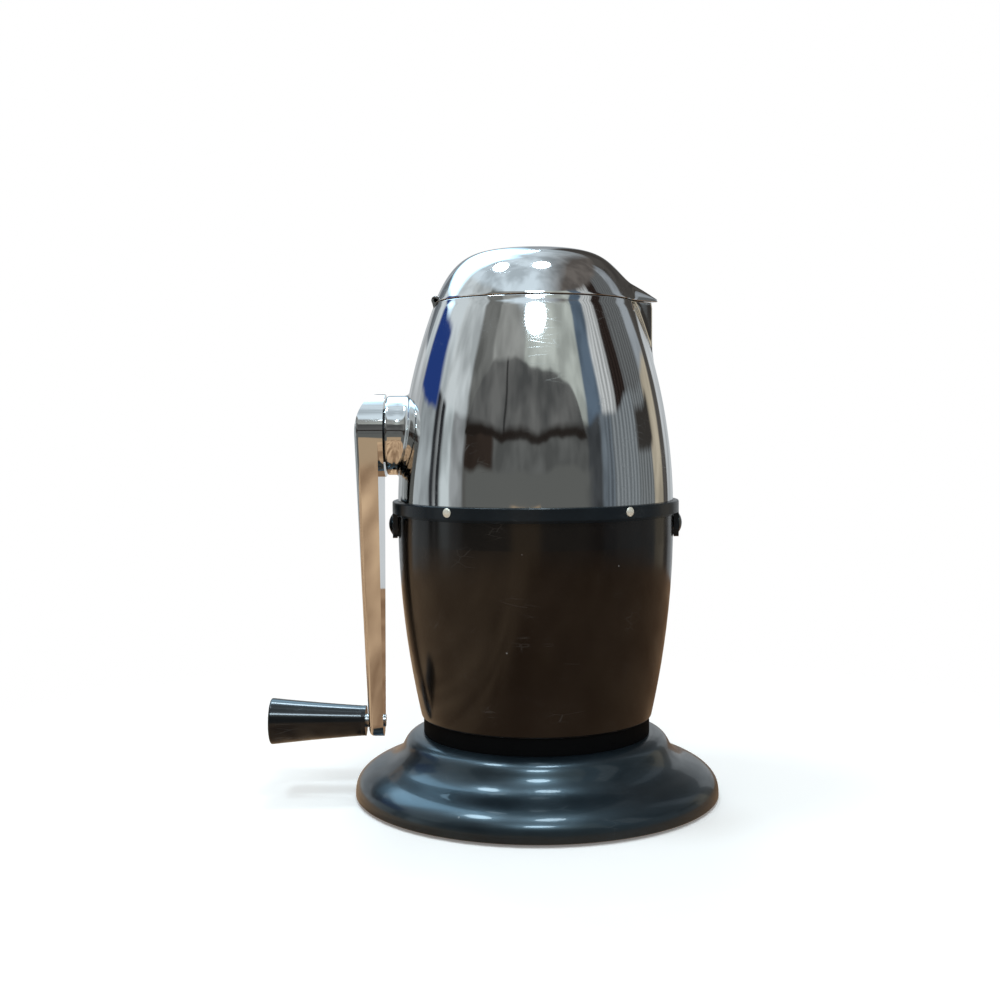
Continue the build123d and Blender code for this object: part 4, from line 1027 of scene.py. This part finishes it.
# Ribbed cloth hangs at the beak side, and soft folds lighten and darken the rest
rib_pitch = 3.6
rib_wave = math_node(tree, "SINE", product(tree, bearing_now, 2 * math.pi / rib_pitch), 0.0)
ribs = between(tree, rib_wave, -0.3, 0.5, 0.55, 1.0)
rib_mask = inside(tree, bearing_now, 60.0, 112.0, 2.0)
cloth_shade = mixed_value(tree, rib_mask, between(tree, folds, 0.38, 0.62, 0.75, 1.20), ribs)
shaded = vector_node(tree, "SCALE", {0: rows, "Scale": cloth_shade})
# A blue cloth hangs at the crank side and a dark one behind the beak, and a window is behind the crank
blue_sides = inside(tree, bearing_now, 234.0, 262.0, 2.0)
blue_mask = product(tree, blue_sides, inside(tree, share, 0.33, 0.54, row_edge))
with_blue = mixed(tree, blue_mask, shaded, (0.02, 0.05, 0.22, 1))
dark_sides = inside(tree, bearing_now, 93.0, 116.0, 2.0)
dark_mask = product(tree, dark_sides, inside(tree, share, 0.22, 0.34, row_edge))
hung = mixed(tree, dark_mask, with_blue, (0.04, 0.037, 0.034, 1))
window_sides = inside(tree, bearing_now, 184.0, 246.0, 5.0)
window_mask = product(tree, window_sides, inside(tree, share, 0.56, 0.95, 0.03))
# A grey drape lies over a stand in front, with a seam and a dark underside, and a plain front below it
drape_bearing = -10.0
drape_width = 50.0
drape_top = 0.60
drape_foot = 0.37
drape_shade = 0.035
seam_bearing = -27.0
seam_half = 0.8
seam_tone = (0.03, 0.03, 0.03, 1)
beside_drape = math_node(tree, "SUBTRACT", bearing_now, drape_bearing)
across_drape = math_node(tree, "DIVIDE", beside_drape, drape_width)
squared = product(tree, across_drape, across_drape)
fallen = product(tree, product(tree, squared, squared), drape_top - drape_foot)
over_edge = math_node(tree, "ADD", math_node(tree, "SUBTRACT", share, drape_top), fallen)
below_top = between(tree, over_edge, 0.0, 0.012, 1.0, 0.0)
drape_low = drape_foot - drape_shade
over_foot = between(tree, share, drape_low - 0.01, drape_low)
in_drape = product(tree, below_top, over_foot)
fold_share = between(tree, folds, 0.35, 0.65)
drape_fold = mixed(tree, fold_share, (0.075, 0.078, 0.078, 1), (0.165, 0.168, 0.165, 1))
seam_mask = inside(tree, bearing_now, seam_bearing - seam_half, seam_bearing + seam_half, 0.5)
seamed = mixed(tree, seam_mask, drape_fold, seam_tone)
under_drape = between(tree, share, drape_foot - 0.01, drape_foot + 0.02)
drape_tone = mixed(tree, under_drape, (0.018, 0.014, 0.012, 1), seamed)
draped = mixed(tree, in_drape, hung, drape_tone)
near_middle = between(tree, squared, 0.9, 1.3, 1.0, 0.0)
plain_front = product(tree, near_middle, between(tree, share, 0.20, 0.225, 1.0, 0.0))
fronted = mixed(tree, plain_front, draped, (0.125, 0.13, 0.125, 1))
# The warm table goes on below in front, and the ceiling is light except over the beak
wood_sides = inside(tree, bearing_now, -20.0, 2.0, 2.0)
wood_mask = product(tree, wood_sides, between(tree, share, 0.05, 0.07, 1.0, 0.0))
low_wood = mixed(tree, wood_mask, fronted, (0.46, 0.34, 0.22, 1))
dim_from = 0.38 * surround_radius
over_beak = between(tree, lift["X"], 0.0, dim_from)
ceiling = mixed(tree, over_beak, (0.66, 0.77, 0.85, 1), (0.15, 0.135, 0.125, 1))
ceiling_folds = between(tree, folds, 0.38, 0.62, 0.72, 1.15)
ceiling_cloth = vector_node(tree, "SCALE", {0: ceiling, "Scale": ceiling_folds})
roofed = mixed(tree, between(tree, share, 0.76, 0.80), low_wood, ceiling_cloth)
tent = mixed(tree, window_mask, roofed, (1.7, 2.7, 3.5, 1))
light_up(surround, panels, tree, tent)

# Table card: a warm wooden board on the floor, which only the gloss of the pieces shows.
# Its grain is strong at the crank side, in front of the arm, and soft elsewhere.
card_radius = 0.75
card_rise = 0.2 * mm
strong_grain_scale = (70.0, 5.0, 5.0)
bpy.ops.object.select_all(action="DESELECT")
bpy.ops.mesh.primitive_circle_add(
    vertices=96, radius=card_radius, fill_type="NGON", location=(0, 0, card_rise)
)
card = bpy.context.object
card.name = "table_card"
show_in_gloss(card)
board, tree, place = new_paint("warm_board")
grain_place = {"Vector": place, "Scale": strong_grain_scale}
stretched = add_node(tree, "Mapping", grain_place).outputs["Vector"]
strong_grain = between(tree, noise(tree, stretched, 1.0, 3.0), 0.35, 0.65)
soft_grain = between(tree, noise(tree, place, 9.0, 2.0), 0.35, 0.65, 0.0, 0.22)
board_x = add_node(tree, "SeparateXYZ", {"Vector": place}).outputs["X"]
crank_side = between(tree, board_x, -0.065, -0.085)
grain = mixed_value(tree, crank_side, soft_grain, strong_grain)
board_tone = mixed(tree, grain, (0.22, 0.13, 0.075, 1), (0.80, 0.57, 0.36, 1))
light_up(card, board, tree, board_tone)

# Lamps: four soft boxes, one high in front and three overhead.
# They are small oval panels behind a pale blue cloth, so gloss shows them as soft spots.
lamp_tone = (0.70, 0.88, 1.0)


def soft_box(name, power, width, height, where, target):
    """Oval lamp that faces a point."""
    lamp = bpy.data.lights.new(name, "AREA")
    lamp.shape = "ELLIPSE"
    lamp.size = width
    lamp.size_y = height
    lamp.energy = power
    lamp.color = lamp_tone
    holder = bpy.data.objects.new(name, lamp)
    bpy.context.scene.collection.objects.link(holder)
    holder.location = where
    aim = holder.location - target
    holder.rotation_euler = aim.to_track_quat("Z", "Y").to_euler()


middle = (cad_low + cad_high) / 2
soft_box("front_box", 3.0, 0.30, 0.16, (0.0, -0.72, 0.84), middle)
soft_box("top_box_left", 2.6, 0.26, 0.20, (-0.42, -0.05, 1.10), middle)
soft_box("top_box_right", 2.6, 0.26, 0.20, (0.10, -0.20, 1.20), middle)
soft_box("top_box_rear", 2.6, 0.30, 0.16, (-0.10, 0.50, 1.05), middle)

# World: the white behind everything, and a soft even light from all round.
# What is seen, mirrored or seen through is plain white, and the light itself is a little warm.
world = bpy.data.worlds.new("studio_white")
bpy.context.scene.world = world
world.use_nodes = True
tree = world.node_tree
even = add_node(tree, "Background", {"Color": (1.0, 0.99, 0.97, 1), "Strength": 0.50})
white = add_node(tree, "Background", {"Color": (1, 1, 1, 1), "Strength": 1.0})
ray = tree.nodes.new("ShaderNodeLightPath").outputs
seen = math_node(tree, "MAXIMUM", ray["Is Camera Ray"], ray["Is Glossy Ray"])
seen = math_node(tree, "MAXIMUM", seen, ray["Is Transmission Ray"])
shown = add_node(tree, "MixShader", {0: seen, 1: even.outputs[0], 2: white.outputs[0]})
tree.links.new(shown.outputs[0], tree.nodes["World Output"].inputs["Surface"])
bpy.context.scene.view_settings.view_transform = "Standard"

# Camera: a little above the crank axis, over half a metre in front and slightly to the crank side.
# It looks a few degrees down, so the skirt of the base shows from above and the lid from the side.
look_down = 0.0572
camera_lean = 0.0067
look_aside = 0.0018
camera_data = bpy.data.cameras.new("camera")
camera_data.sensor_width = 36.0
camera_data.lens = 46.8
camera = bpy.data.objects.new("camera", camera_data)
bpy.context.scene.collection.objects.link(camera)
camera.location = (-0.01474, -0.5911, 0.1682)
camera.rotation_euler = (math.pi / 2 - look_down, camera_lean, look_aside)
bpy.context.scene.camera = camera
